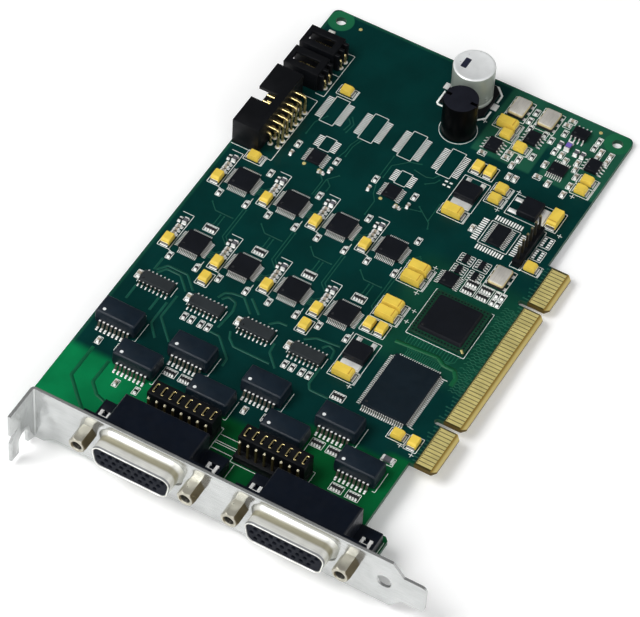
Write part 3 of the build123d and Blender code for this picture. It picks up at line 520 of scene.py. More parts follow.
@dataclass(frozen=True)
class MaskFinish(Finish):
    """Solder mask whose green follows the copper fields under it.

    The main field is dark. The field beside the bracket and the strip below it are bright, and a
    painted shade turns them to a darker green south of their north end, a little less near the south
    edge. The far corner, which a dark lane crosses, the rim and the field round the logic chip lie
    between them. The edge tongue and its bevelled tip are bare. Each pair says where one field starts
    to change into the next and where the change ends.
    """

    lift: float = 1.0
    middle: Colour = (0.012, 0.085, 0.05)
    corner_x: Flat = (90.5, 91.5)
    corner_y: Flat = (39.5, 38.5)
    lane_y: float = 19.2
    lane_half: Flat = (0.8, 1.6)
    lane_x: Flat = (101.0, 106.0)
    rim_x: Flat = (116.9, 117.8)
    rim_y: Flat = (97.1, 98.0)
    rim_share: float = 0.7
    logic: Colour = (0.006, 0.07, 0.034)
    logic_west: Flat = (8.0, 16.0)
    logic_east: Flat = (54.0, 46.0)
    logic_y: Flat = (36.0, 26.0)
    logic_share: float = 0.55
    bright: Colour = (0.002, 0.185, 0.06)
    # Painted shade: the darker green that the bright field turns to away from its north end.
    bright_shaded: Colour = (0.0006, 0.074, 0.018)
    border_y: Flat = (42.0, 26.0)
    border_x: Flat = (-28.0, -18.5)
    border_soft: float = 1.8
    strip_x: Flat = (-14.5, -16.5)
    strip_y: Flat = (8.0, 4.0)
    # Where the painted shade on the bright field starts and ends, and its least share at the south edge.
    shade_north: Flat = (84.0, 50.0)
    shade_south: Flat = (0.0, 8.0)
    shade_least: float = 0.75
    ring: Colour = (0.012, 0.125, 0.055)
    ring_edge: Flat = (4.1, 3.8)
    holes: Line = ((114.45, 94.63), (114.45, 3.8))
    gap: Colour = (0.05, 0.04, 0.012)
    bevel: Colour = (0.24, 0.155, 0.03)
    tip: Colour = (0.52, 0.42, 0.16)
    tongue_x: Flat = (-24.0, -23.0)
    tongue_y: Flat = (-1.2, -1.6)
    bevel_y: Flat = (-6.2, -6.4)
    tip_y: Flat = (-6.5, -7.3)
    laminate: Colour = (0.016, 0.075, 0.042)
    core: Colour = (0.10, 0.066, 0.014)
    wall_tilt: Flat = (0.5, 0.3)

    def greens(self, wiring: Wiring, x: Socket, y: Socket) -> Socket:
        """Wire the fields of green.

        Args:
            wiring: Wiring of the material's own tree.
            x: Place along X.
            y: Place along Y.

        Returns:
            The colour of the mask.
        """
        away = wiring.math("ABSOLUTE", wiring.math("SUBTRACT", y, self.lane_y))
        lane = wiring.math("MAXIMUM", wiring.ramp(away, self.lane_half), wiring.ramp(x, self.lane_x))
        corner = wiring.math("MULTIPLY", wiring.ramp(x, self.corner_x), wiring.ramp(y, self.corner_y), lane)
        edges = ((x, self.rim_x), (y, self.rim_y))
        rims = (wiring.ramp(axis, span, 0.0, self.rim_share) for axis, span in edges)
        colour = wiring.mix(wiring.math("MAXIMUM", corner, *rims), self.colour, self.middle)
        sides = (wiring.ramp(x, span) for span in (self.logic_west, self.logic_east))
        logic = wiring.math("MULTIPLY", *sides, wiring.ramp(y, self.logic_y, 0.0, self.logic_share))
        colour = wiring.mix(logic, colour, self.logic)
        border = wiring.math("SUBTRACT", x, wiring.ramp(y, self.border_y, *self.border_x))
        near = wiring.ramp(border, (self.border_soft, -self.border_soft))
        strip = wiring.math("MULTIPLY", wiring.ramp(x, self.strip_x), wiring.ramp(y, self.strip_y))
        # Painted shade on the bright field, full between its north end and the south edge and a little less
        # at that edge.
        low = wiring.ramp(y, self.shade_south, self.shade_least)
        shade_share = wiring.math("MULTIPLY", wiring.ramp(y, self.shade_north), low)
        bright = wiring.mix(shade_share, self.bright, self.bright_shaded)
        colour = wiring.mix(wiring.math("MAXIMUM", near, strip), colour, bright)
        flat = wiring.add("ShaderNodeCombineXYZ", X=x, Y=y).outputs["Vector"]
        for hole in self.holes:
            away = wiring.measure("DISTANCE", flat, (*hole, 0.0))
            colour = wiring.mix(wiring.ramp(away, self.ring_edge), colour, self.ring)
        return wiring.scale(self.drifting(wiring, colour), self.lift)

    def paint(self, wiring: Wiring) -> Socket:
        """Wire the greens, the bare tongue and the cut edge.

        Args:
            wiring: Wiring of the material's own tree.

        Returns:
            The colour of the board.
        """
        x, y, _ = wiring.axes()
        tongue = wiring.math("MULTIPLY", wiring.ramp(x, self.tongue_x), wiring.ramp(y, self.tongue_y))
        slope = wiring.mix(wiring.ramp(y, self.tip_y), self.bevel, self.tip)
        bare = wiring.mix(wiring.ramp(y, self.bevel_y), self.gap, slope)
        face = wiring.mix(tongue, self.greens(wiring, x, y), bare)
        wall = wiring.mix(tongue, self.laminate, self.core)
        return wiring.mix(wiring.ramp(wiring.math("ABSOLUTE", wiring.facing()), self.wall_tilt), face, wall)


@dataclass(frozen=True)
class BrushedFinish(Finish):
    """Plated sheet with faint streaks along one axis."""

    streak: Point = (400.0, 30.0, 400.0)
    streak_scale: float = 6.0
    streak_span: Flat = (0.35, 0.7)
    depth: float = 0.12

    def paint(self, wiring: Wiring) -> Socket:
        """Wire the plating colour with its streaks.

        Args:
            wiring: Wiring of the material's own tree.

        Returns:
            The colour of the plating.
        """
        long = wiring.add("ShaderNodeMapping", Vector=wiring.place(), Scale=self.streak)
        noise = wiring.noise(self.streak_scale, detail=4.0, place=long.outputs["Vector"])
        darker = tuple(value * (1 - self.depth) for value in self.colour)
        return self.drifting(wiring, wiring.mix(wiring.ramp(noise, self.streak_span), self.colour, darker))


@dataclass(frozen=True)
class ShellFinish(BrushedFinish):
    """Drawn sheet with a painted reflection, an olive band across its root by the flange, and painted shade
    in the crease behind its lip.
    """

    # Painted reflection: the olive band across the root, between two spans along X.
    root: Colour = (0.39, 0.365, 0.26)
    root_front: Flat = (-59.2, -58.4)
    root_back: Flat = (-56.4, -57.3)
    # Painted shade in the crease behind the lip.
    crease: Colour = (0.30, 0.31, 0.32)
    crease_x: float = -61.25
    crease_half: Flat = (0.4, 0.2)

    def paint(self, wiring: Wiring) -> Socket:
        """Wire the plating colour with the painted reflection at its root and the painted shade in its
        crease.

        Args:
            wiring: Wiring of the material's own tree.

        Returns:
            The colour of the shell.
        """
        x = wiring.axes()[0]
        # Painted reflection across the root.
        root = wiring.math("MULTIPLY", wiring.ramp(x, self.root_front), wiring.ramp(x, self.root_back))
        colour = wiring.mix(root, super().paint(wiring), self.root)
        # Painted shade in the crease.
        away = wiring.math("ABSOLUTE", wiring.math("SUBTRACT", x, self.crease_x))
        return wiring.mix(wiring.ramp(away, self.crease_half), colour, self.crease)


@dataclass(frozen=True)
class ShadedFlankFinish(Finish):
    """Surface with painted shade on its flanks, the faces that turn away from one way: a second, darker
    colour there stands in for shade and dark reflections.
    """

    # Painted shade: the colour of the flanks.
    flank_shade: Colour = (0.085, 0.08, 0.06)
    way: Point = UP
    turn: Flat = (0.88, 0.66)

    def paint(self, wiring: Wiring) -> Socket:
        """Wire the colour with the painted shade of the flanks and return it."""
        share = wiring.ramp(wiring.facing(self.way), self.turn)
        return wiring.mix(share, super().paint(wiring), self.flank_shade)


# Both masks carry the painted shade over the bright field from MaskFinish.
BOARD_MASK = MaskFinish("board_mask", Slot.MASK, (0.0006, 0.0295, 0.027), 0.36, specular=0.1, drift=0.14,
                        drift_scale=90.0, spread=0.05, grain=0.006, grain_scale=2600.0, dust=0.002)
TRACE_MASK = MaskFinish("trace_mask", Slot.MASK, (0.004, 0.045, 0.031), 0.4, specular=0.2, spread=0.05,
                        lift=1.75)
GAP_MASK = Finish("gap_mask", Slot.MASK, (0.003, 0.10, 0.042), 0.4, specular=0.2)
BUS_MASK = Finish("bus_mask", Slot.MASK, (0.006, 0.10, 0.038), 0.4, specular=0.2)
LEGEND_INK = Finish("legend_ink", Slot.MASK, (0.92, 0.95, 0.91), 0.6, drift=0.06)
GOLD = BrushedFinish("contact_gold", Slot.GOLD, (0.80, 0.69, 0.27), 0.42, 0.4, streak=(900.0, 60.0, 900.0))
PIN_GOLD = Finish("pin_gold", Slot.GOLD, (0.86, 0.70, 0.32), 0.26, 1.0)
# Painted shade: the posts' flanks are dark, and the service posts' gold is darkened all over as shade.
POST_GOLD = ShadedFlankFinish("post_gold", Slot.GOLD, (0.95, 0.88, 0.62), 0.32, 0.2, flank_shade=(0.045, 0.034, 0.012),
                        turn=(0.3, 0.1))
POST_GOLD_SHADED = ShadedFlankFinish("post_dull", Slot.GOLD, (0.20, 0.17, 0.09), 0.4, 0.2, flank_shade=(0.014, 0.011, 0.005),
                        turn=(0.3, 0.1))
NICKEL = BrushedFinish("bracket_nickel", Slot.NICKEL, (0.59, 0.605, 0.60), 0.2, 0.75, drift=0.05,
                       spread=0.03, grain=0.004)
# Painted reflection: the facets that face -Y are a dark brown, standing in for the dark surroundings that
# they mirror.
SCREW_NICKEL = ShadedFlankFinish("screw_nickel", Slot.NICKEL, (0.48, 0.46, 0.385), 0.34, 0.7, grain=0.001,
                           flank_shade=(0.13, 0.105, 0.06), way=(0.0, 1.0, 0.0), turn=(-0.3, -0.7))
# Painted shade inside the screws' threaded bores.
SCREW_BORE_SHADE = Finish("screw_bore", Slot.NICKEL, (0.05, 0.047, 0.04), 0.4, 0.6)
# The shell's finish paints a reflection at its root and shade in its crease.
SHELL_TIN = ShellFinish("shell_tin", Slot.TIN, (0.82, 0.82, 0.77), 0.36, 0.5, drift=0.04, grain=0.0006)
FORK_TIN = Finish("fork_tin", Slot.TIN, (0.95, 0.95, 0.93), 0.35, 0.15)
SOLDER_TIN = Finish("solder_tin", Slot.TIN, (0.90, 0.90, 0.88), 0.4, 0.35, drift=0.12, grain=0.004,
                    dust=0.03)
# Painted shade: the upright legs of the leads and the straps of the tantalum terminals are darker than their
# tops and feet.
LEAD_TIN = ShadedFlankFinish("lead_tin", Slot.TIN, (0.95, 0.95, 0.92), 0.36, 0.2, drift=0.06, grain=0.003)
FINE_TIN = ShadedFlankFinish("fine_tin", Slot.TIN, (0.95, 0.95, 0.92), 0.36, 0.2, drift=0.06, grain=0.003,
                       flank_shade=(0.46, 0.455, 0.42))
PAD_TIN = Finish("pad_tin", Slot.TIN, (0.95, 0.96, 0.93), 0.45, 0.1, drift=0.06, grain=0.004)
CONNECTOR_BLACK = Finish("connector_black", Slot.PLASTIC, (0.0018, 0.0042, 0.01), 0.42, specular=0.25,
                         grain=0.005, grain_scale=5200.0)
HEADER_BLACK = Finish("header_black", Slot.PLASTIC, (0.003, 0.0035, 0.0048), 0.46, specular=0.2, grain=0.003,
                      grain_scale=5200.0)
INSERT_NAVY = Finish("insert_navy", Slot.PLASTIC, (0.004, 0.006, 0.012), 0.6, specular=0.15, grain=0.003)
TRANSFORMER_EPOXY = Finish("transformer_black", Slot.TRANSFORMER, (0.005, 0.0115, 0.02), 0.42, specular=0.3,
                           grain=0.003, grain_scale=6000.0)
MARK_WHITE = Finish("mark_white", Slot.TRANSFORMER, (0.76, 0.78, 0.78), 0.55, drift=0.05)
CHIP_EPOXY = Finish("chip_black", Slot.CHIP, (0.0055, 0.0068, 0.01), 0.48, specular=0.18, grain=0.003,
                    grain_scale=7000.0)
DRIVER_EPOXY = Finish("driver_grey", Slot.CHIP, (0.019, 0.024, 0.027), 0.5, specular=0.4, grain=0.003,
                      grain_scale=7000.0)
MEMORY_EPOXY = Finish("memory_navy", Slot.CHIP, (0.0045, 0.0105, 0.0165), 0.48, specular=0.2, grain=0.003,
                      grain_scale=7000.0)
CHIP_DIMPLE = Finish("chip_dimple", Slot.CHIP, (0.018, 0.019, 0.021), 0.3)
LOGIC_BASE = Finish("logic_substrate", Slot.CHIP, (0.004, 0.040, 0.020), 0.4, specular=0.3, drift=0.2,
                    drift_scale=900.0)
TANTALUM_RESIN = Finish("tantalum_yellow", Slot.TANTALUM, (0.80, 0.575, 0.08), 0.42, specular=0.3,
                        drift=0.08, grain=0.004)
TANTALUM_BAND = Finish("tantalum_band", Slot.TANTALUM, (0.55, 0.30, 0.03), 0.46)
# Painted shade and reflection: the can's sides are a darker, greenish grey than its top.
CAN_ALUMINIUM = ShadedFlankFinish("can_satin", Slot.ALUMINIUM, (0.90, 0.92, 0.92), 0.34, 0.3, drift=0.05,
                            grain=0.002, flank_shade=(0.34, 0.38, 0.34))
CAN_MARK = Finish("can_mark", Slot.ALUMINIUM, (0.010, 0.012, 0.03), 0.5)
LID_STEEL = BrushedFinish("oscillator_lid", Slot.ALUMINIUM, (0.72, 0.69, 0.63), 0.42, 0.4, grain=0.002,
                          dust=0.03, streak=(60.0, 600.0, 600.0))
LID_SEAM = Finish("oscillator_seam", Slot.ALUMINIUM, (0.84, 0.70, 0.38), 0.38, 0.4)
CERAMIC_DARK = Finish("oscillator_ceramic", Slot.ALUMINIUM, (0.012, 0.010, 0.010), 0.5, dust=0.02)
# Painted shade: the sleeve's sides are darker than its top.
SLEEVE_BLACK = ShadedFlankFinish("sleeve_black", Slot.SLEEVE, (0.011, 0.012, 0.018), 0.34, specular=0.1,
                           grain=0.004, grain_scale=1800.0, flank_shade=(0.0006, 0.0006, 0.0009))
RESISTOR_BLACK = Finish("resistor_black", Slot.CERAMIC, (0.011, 0.012, 0.014), 0.4, dust=0.02)
CAPACITOR_TAN = Finish("capacitor_tan", Slot.CERAMIC, (0.36, 0.31, 0.24), 0.5, drift=0.2)
BEAD_GREY = Finish("bead_grey", Slot.CERAMIC, (0.10, 0.10, 0.115), 0.5, drift=0.15)
BAND_VIOLET = Finish("band_violet", Slot.CERAMIC, (0.17, 0.11, 0.47), 0.45)
INDICATOR_LENS = Finish("indicator_lens", Slot.CERAMIC, (0.76, 0.76, 0.70), 0.25, coat=0.3)


def link(name: str, data: bpy.types.ID) -> Thing:
    """Put a new object with some data into the scene.

    Args:
        name: Name of the object.
        data: Its mesh, lamp or camera.

    Returns:
        The object.
    """
    thing = bpy.data.objects.new(name, data)
    bpy.context.scene.collection.objects.link(thing)
    return thing


def shade(mesh: Mesh, angle: float) -> None:
    """Shade a mesh smooth, with edges sharper than an angle in degrees kept crisp."""
    mesh.polygons.foreach_set("use_smooth", [True] * len(mesh.polygons))
    mesh.set_sharp_from_angle(angle=math.radians(angle))


def face_outward(mesh: Mesh) -> None:
    """Turn every face of closed shells outward.

    Args:
        mesh: The mesh to change.
    """
    work = bmesh.new()
    work.from_mesh(mesh)
    bmesh.ops.recalc_face_normals(work, faces=work.faces)
    work.to_mesh(mesh)
    work.free()


def plain_mesh(host: Thing, name: str) -> Mesh:
    """Turn an object with modifiers into a plain mesh.

    Args:
        host: Object with its modifiers, which is removed.
        name: Name of the mesh.

    Returns:
        The mesh.
    """
    graph = bpy.context.evaluated_depsgraph_get()
    mesh = bpy.data.meshes.new_from_object(host.evaluated_get(graph), depsgraph=graph)
    bpy.data.objects.remove(host)
    mesh.name = name
    return mesh


def fit(name: str, mesh: Mesh, nodes: Iterable[str] = ()) -> None:
    """Make a finished mesh into a piece and fasten it to the card.

    Args:
        name: Name of the piece.
        mesh: Its mesh.
        nodes: CAD nodes that the piece stands for.
    """
    piece = link(name, mesh)
    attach(piece, BODY)
    if nodes:
        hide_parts(*nodes)
    log.info("%s: %d faces", name, len(mesh.polygons))


def dress(node: str, finish: Finish) -> None:
    """Give a CAD node whose shape is kept a finish.

    Args:
        node: Name of the node.
        finish: Its finish.
    """
    for slot in frame["nodes"][node].material_slots:
        slot.material = finish.material()
    log.info("%s: kept from the frame", node)


def in_metres(points: Iterable[Point]) -> list[Point]:
    """Turn points from millimetres into the scene's metres."""
    return [tuple(value * MM for value in point) for point in points]


def circle(centre: Sequence[float], radius: float, count: int) -> list[Flat]:
    """Points of a circle, counter-clockwise."""
    angles = [2 * math.pi * index / count for index in range(count)]
    return [(centre[0] + radius * math.cos(angle), centre[1] + radius * math.sin(angle)) for angle in angles]


def rounded_rect(centre: Sequence[float], size: Flat, radius: float, steps: int = 2) -> list[Flat]:
    """Outline of a rectangle with round corners, counter-clockwise.

    Args:
        centre: Middle of the rectangle.
        size: Its two lengths.
        radius: Corner radius.
        steps: Straight stretches in each corner.

    Returns:
        The points of the outline.
    """
    points = []
    for quarter, (across, up) in enumerate(((1, 1), (-1, 1), (-1, -1), (1, -1))):
        pivot_x = centre[0] + across * (size[0] / 2 - radius)
        pivot_y = centre[1] + up * (size[1] / 2 - radius)
        for step in range(steps + 1):
            angle = math.pi / 2 * (quarter + step / steps)
            points.append((pivot_x + radius * math.cos(angle), pivot_y + radius * math.sin(angle)))
    return points


def beside(points: Sequence[Flat], distance: float) -> list[Flat]:
    """Line that runs beside another at an even distance.

    Args:
        points: Points of the first line.
        distance: Distance to its left-hand side.

    Returns:
        Points of the second line, with mitred corners.
    """
    ways = []
    for (x0, y0), (x1, y1) in zip(points, points[1:]):
        length = math.hypot(x1 - x0, y1 - y0)
        ways.append(((y0 - y1) / length, (x1 - x0) / length))
    moved = []
    for (x, y), first, second in zip(points, (ways[0], *ways), (*ways, ways[-1])):
        reach = distance / (1 + first[0] * second[0] + first[1] * second[1])
        moved.append((x + (first[0] + second[0]) * reach, y + (first[1] + second[1]) * reach))
    return moved


class MeshMaker:
    """Gathers closed shells and makes them into one piece.

    A method that adds a shell takes the index of its finish as tint, and returns the maker.
    """

    seam: float = 0.03
    seam_corner: float = 0.16
    end_corner: float = 0.12

    def __init__(self) -> None:
        """Start with nothing."""
        self.points: list[Point] = []
        self.faces: list[tuple[int, ...]] = []
        self.tints: list[int] = []

    def loft(self, rings: Sequence[Sequence[Point]], tint: int = 0, wrap: bool = False) -> "MeshMaker":
        """Join rings of equal count into a closed shell.

        Args:
            rings: The rings in order.
            tint: Index of the finish.
            wrap: Whether the last ring joins the first, or both ends are capped.

        Returns:
            The maker.
        """
        start = len(self.points)
        count = len(rings[0])
        for ring in rings:
            self.points.extend(ring)
        for span in range(len(rings) if wrap else len(rings) - 1):
            low = start + span * count
            high = start + (span + 1) % len(rings) * count
            for index in range(count):
                following = (index + 1) % count
                self.faces.append((low + index, low + following, high + following, high + index))
        if not wrap:
            last = len(self.points) - count
            self.faces.append(tuple(reversed(range(start, start + count))))
            self.faces.append(tuple(range(last, last + count)))
        self.tints.extend([tint] * (len(self.faces) - len(self.tints)))
        return self

    def tower(self, centre: Sequence[float], size: Sequence[float], levels: Sequence[Point], tint: int = 0,
              steps: int = 2) -> "MeshMaker":
        """Stack rounded rectangles into a moulded body.

        Args:
            centre: Middle of the body in plan.
            size: Full lengths along X and Y.
            levels: Height, loss of both lengths and corner radius of each ring.
            tint: Index of the finish.
            steps: Straight stretches in each corner.

        Returns:
            The maker.
        """
        rings = []
        for height, less, radius in levels:
            outline = rounded_rect(centre, (size[0] - less, size[1] - less), radius, steps)
            rings.append([(x, y, height) for x, y in outline])
        return self.loft(rings, tint)

    def block(self, box: Box, edge: float, tint: int = 0) -> "MeshMaker":
        """Add a box with its edges broken.

        Args:
            box: Room that the block fills.
            edge: Width of the broken edge.
            tint: Index of the finish.

        Returns:
            The maker.
        """
        low, high = box.lo[2], box.hi[2]
        losses = ((low, 2 * edge), (low + edge, 0), (high - edge, 0), (high, 2 * edge))
        levels = [(height, less, edge) for height, less in losses]
        return self.tower(box.mid, box.size, levels, tint, steps=1)

    def moulded(self, box: Box, lift: float, draft: float, edge: float) -> "MeshMaker":
        """Add an epoxy body that narrows from its parting line to its top and bottom.

        Args:
            box: Room that the body fills.
            lift: Gap between the board and the body.
            draft: How far the sides lean in over half the height.
            edge: Broken edge at the top.

        Returns:
            The maker.
        """
        low, high = box.lo[2] + lift, box.hi[2]
        parting = (low + high) / 2
        return self.tower(box.mid, box.size, (
            (low, 2 * draft, self.end_corner),
            (parting - self.seam, 0, self.seam_corner),
            (parting + self.seam, 0, self.seam_corner),
            (high - edge, 2 * draft, self.seam_corner),
            (high, 2 * (draft + edge), self.end_corner),
        ))

    def lathe(self, centre: Sequence[float], profile: Line, count: int, tint: int = 0) -> "MeshMaker":
        """Turn a profile of radius and height about an upright axis and return the maker."""
        rings = [[(x, y, height) for x, y in circle(centre, radius, count)] for radius, height in profile]
        return self.loft(rings, tint)

    def disc(self, centre: Flat, radius: float, top: float, count: int, tint: int = 0) -> "MeshMaker":
        """Add a flat round mark that is let into a face and return the maker."""
        return self.lathe(centre, ((radius, top - MARK_DEPTH), (radius, top)), count, tint)

    def sheet(self, outline: Sequence[Flat], low: float, high: float, tint: int = 0) -> "MeshMaker":
        """Add a flat plate of any outline between two heights and return the maker."""
        return self.loft([[(x, y, height) for x, y in outline] for height in (low, high)], tint)

    def strap(self, profile: Line, width: float) -> "MeshMaker":
        """Add a bent strap, a profile along X and Z with an even width along Y, and return the maker."""
        return self.loft([[(x, side * width / 2, z) for x, z in profile] for side in (-1, 1)])

    def mesh(self, name: str, *finishes: Finish) -> Mesh:
        """Make the gathered shells into a mesh.

        Args:
            name: Name of the mesh.
            *finishes: Finishes in the order of the tints.

        Returns:
            The mesh, with its faces outward.
        """
        made = bpy.data.meshes.new(name)
        made.from_pydata(in_metres(self.points), [], self.faces)
        for finish in finishes:
            made.materials.append(finish.material())
        made.polygons.foreach_set("material_index", self.tints)
        face_outward(made)
        return made

    def fit(self, name: str, *finishes: Finish, nodes: Iterable[str] = (), smooth: float = 0.0) -> None:
        """Make the gathered shells into one piece of the card.

        Args:
            name: Name of the piece.
            *finishes: Finishes in the order of the tints.
            nodes: CAD nodes that the piece stands for.
            smooth: Edge angle in degrees under which faces are shaded smooth.
        """
        mesh = self.mesh(name, *finishes)
        if smooth:
            shade(mesh, smooth)
        fit(name, mesh, nodes)


class Sweep(Enum):
    """Ways to sweep a section along a path, with the points in each round bend."""

    LEVEL_STRIP = 3
    BENT_PIN = 4


class GeometryTree(Wiring):
    """Geometry Nodes tree with named inputs that ends in realised, dressed geometry."""

    def __init__(self, name: str, inputs: dict[str, str]) -> None:
        """Make the tree with its sockets.

        Args:
            name: Name of the tree.
            inputs: Socket type of each named input.
        """
        super().__init__(bpy.data.node_groups.new(name, "GeometryNodeTree"))
        kinds = {"Geometry": "NodeSocketGeometry", **inputs, "Finish": "NodeSocketMaterial"}
        for label, kind in kinds.items():
            self.tree.interface.new_socket(label, in_out="INPUT", socket_type=kind)
        self.tree.interface.new_socket("Geometry", in_out="OUTPUT", socket_type=kinds["Geometry"])
        self.given = self.add("NodeGroupInput").outputs

    def close(self, geometry: Socket) -> Tree:
        """Realise the geometry and set its material.

        Args:
            geometry: What the tree has made.

        Returns:
            The finished tree.
        """
        real = self.add("GeometryNodeRealizeInstances", Geometry=geometry)
        finish = self.given["Finish"]
        dressed = self.add("GeometryNodeSetMaterial", Geometry=real.outputs[0], Material=finish)
        self.add("NodeGroupOutput", Geometry=dressed.outputs[0])
        return self.tree


@functools.cache
def placing_tree() -> Tree:
    """Tree that puts a shape on each point, turned by the point's own angle.

    Returns:
        The tree.
    """
    tree = GeometryTree("place_on_points", {"Shape": "NodeSocketObject"})
    shape = tree.add("GeometryNodeObjectInfo", Object=tree.given["Shape"])
    turn = tree.add("GeometryNodeInputNamedAttribute", {"data_type": "FLOAT"}, Name="turn")
    spin = tree.add("ShaderNodeCombineXYZ", Z=turn.outputs["Attribute"])
    placed = tree.add("GeometryNodeInstanceOnPoints", Points=tree.given["Geometry"],
                      Instance=shape.outputs["Geometry"], Rotation=spin.outputs[0])
    return tree.close(placed.outputs[0])


@functools.cache
def sweep_tree(way: Sweep) -> Tree:
    """Tree that sweeps a rectangle along each path and rounds its bends.

    Args:
        way: Whether the paths become strips that lie level or pins.

    Returns:
        The tree.
    """
    sizes = dict.fromkeys(("Width", "Thickness", "Bend Radius"), "NodeSocketFloat")
    tree = GeometryTree(way.name.lower(), sizes)
    path = tree.add("GeometryNodeMeshToCurve", Mesh=tree.given["Geometry"])
    path = tree.add("GeometryNodeFilletCurve", {"mode": "POLY"}, Curve=path.outputs[0], Count=way.value,
                    Radius=tree.given["Bend Radius"], Limit_Radius=True)
    if way is Sweep.LEVEL_STRIP:
        path = tree.add("GeometryNodeSetCurveNormal", {"mode": "Z_UP"}, Curve=path.outputs[0])
    section = tree.add("GeometryNodeCurvePrimitiveQuadrilateral", Width=tree.given["Width"],
                       Height=tree.given["Thickness"])
    swept = tree.add("GeometryNodeCurveToMesh", Curve=path.outputs[0], Profile_Curve=section.outputs[0],
                     Fill_Caps=True)
    return tree.close(swept.outputs[0])


def grow(name: str, seed: Mesh, tree: Tree, finish: Finish, **values: object) -> Mesh:
    """Run a Geometry Nodes tree on a seed mesh.

    Args:
        name: Name of the new mesh.
        seed: Points or paths that the tree works on.
        tree: The tree.
        finish: Finish of the result.
        **values: Value of each other named input, with _ for a space.

    Returns:
        The result as a plain mesh.
    """
    host = link(f"{name}_seed", seed)
    modifier = host.modifiers.new("grow", "NODES")
    modifier.node_group = tree
    values["Finish"] = finish.material()
    for label, value in values.items():
        modifier[tree.interface.items_tree[label.replace("_", " ")].identifier] = value
    mesh = plain_mesh(host, name)
    face_outward(mesh)
    return mesh


class Scatter:
    """Places on the card that all carry a copy of one small shape."""

    def __init__(self) -> None:
        """Start with no places."""
        self.places: list[Point] = []
        self.turns: list[float] = []

    def put(self, x: float, y: float, z: float = 0.0, side: Side = Side.EAST) -> None:
        """Add one place."""
        self.places.append((x, y, z))
        self.turns.append(side.angle)

    def row(self, centre: Sequence[float], side: Side, out: float, count: int = 1,
            pitch: float = 0.0) -> None:
        """Add a row of places at a distance from a centre, on the side that the copies point to."""
        for index in range(count):
            self.put(*side.off(centre, out, (index - (count - 1) / 2) * pitch), 0.0, side)

    def fit(self, name: str, shape: MeshMaker, finish: Finish, nodes: Iterable[str] = ()) -> None:
        """Put a shape on every place and fasten the copies to the card as one piece.

        Args:
            name: Name of the piece.
            shape: The shape, drawn at the origin and pointing east.
            nodes: CAD nodes that the piece stands for.
        """
        seed = bpy.data.meshes.new(f"{name}_places")
        seed.from_pydata(in_metres(self.places), [], [])
        seed.attributes.new("turn", "FLOAT", "POINT").data.foreach_set("value", self.turns)
        model = link(f"{name}_shape", shape.mesh(f"{name}_shape"))
        mesh = grow(name, seed, placing_tree(), finish, Shape=model)
        bpy.data.objects.remove(model)
        fit(name, mesh, nodes)


class Paths:
    """Open or closed lines that become strips or pins."""

    def __init__(self, level: float = 0.0, *lines: Sequence[Flat]) -> None:
        """Keep the height of lines that are drawn flat, and draw the first ones.

        Args:
            level: The height.
            *lines: Open lines to start with.
        """
        self.level = level
        self.points: list[Point] = []
        self.edges: list[tuple[int, int]] = []
        for line in lines:
            self.draw(line)

    def run(self, points: Sequence[Point], closed: bool = False) -> None:
        """Add one line through some points.

        Args:
            points: The points in order.
            closed: Whether the line comes back to its start.
        """
        start = len(self.points)
        self.points.extend(points)
        stop = len(self.points)
        self.edges.extend((index, index + 1) for index in range(start, stop - 1))
        if closed:
            self.edges.append((stop - 1, start))

    def draw(self, points: Sequence[Flat], closed: bool = False, level: float | None = None) -> None:
        """Add one line at an even height, which is the usual one if none is given."""
        height = self.level if level is None else level
        self.run([(x, y, height) for x, y in points], closed)

    def fit(self, name: str, section: Flat, bend: float, finish: Finish, nodes: Iterable[str] = (),
            way: Sweep = Sweep.LEVEL_STRIP) -> None:
        """Make the lines into strips or pins and fasten them to the card as one piece.

        Args:
            name: Name of the piece.
            section: Width and thickness of a strip or a pin.
            bend: Radius at its bends.
            nodes: CAD nodes that the piece stands for.
            way: Whether the lines become strips or pins.
        """
        seed = bpy.data.meshes.new(f"{name}_lines")
        seed.from_pydata(in_metres(self.points), self.edges, [])
        width, thick = section
        mesh = grow(name, seed, sweep_tree(way), finish, Width=width * MM, Thickness=thick * MM,
                    Bend_Radius=bend * MM)
        fit(name, mesh, nodes)


def soften(node: str, name: str, finish: Finish, edge: float) -> None:
    """Fit a copy of a CAD node with its sharp edges broken in its place.

    Args:
        node: Name of the node.
        name: Name of the new piece.
        finish: Finish of the piece.
        edge: Width of the broken edge.
    """
    weld, flat_angle, bevel_angle, smooth_angle = MM / 1000, 0.5, 40, 32
    work = bmesh.new()
    work.from_mesh(frame["nodes"][node].data)
    bmesh.ops.remove_doubles(work, verts=work.verts, dist=weld)
    bmesh.ops.dissolve_limit(work, angle_limit=math.radians(flat_angle), verts=work.verts, edges=work.edges)
    mesh = bpy.data.meshes.new(name)
    work.to_mesh(mesh)
    work.free()
    for label in [item.name for item in mesh.attributes if not item.is_required]:
        if label in mesh.attributes:
            mesh.attributes.remove(mesh.attributes[label])
    mesh.materials.clear()
    mesh.materials.append(finish.material())
    host = link(f"{name}_host", mesh)
    bevel = host.modifiers.new("edge", "BEVEL")
    bevel.width = edge * MM
    bevel.segments = 2
    bevel.limit_method = "ANGLE"
    bevel.angle_limit = math.radians(bevel_angle)
    mesh = plain_mesh(host, name)
    shade(mesh, smooth_angle)
    fit(name, mesh, (node,))


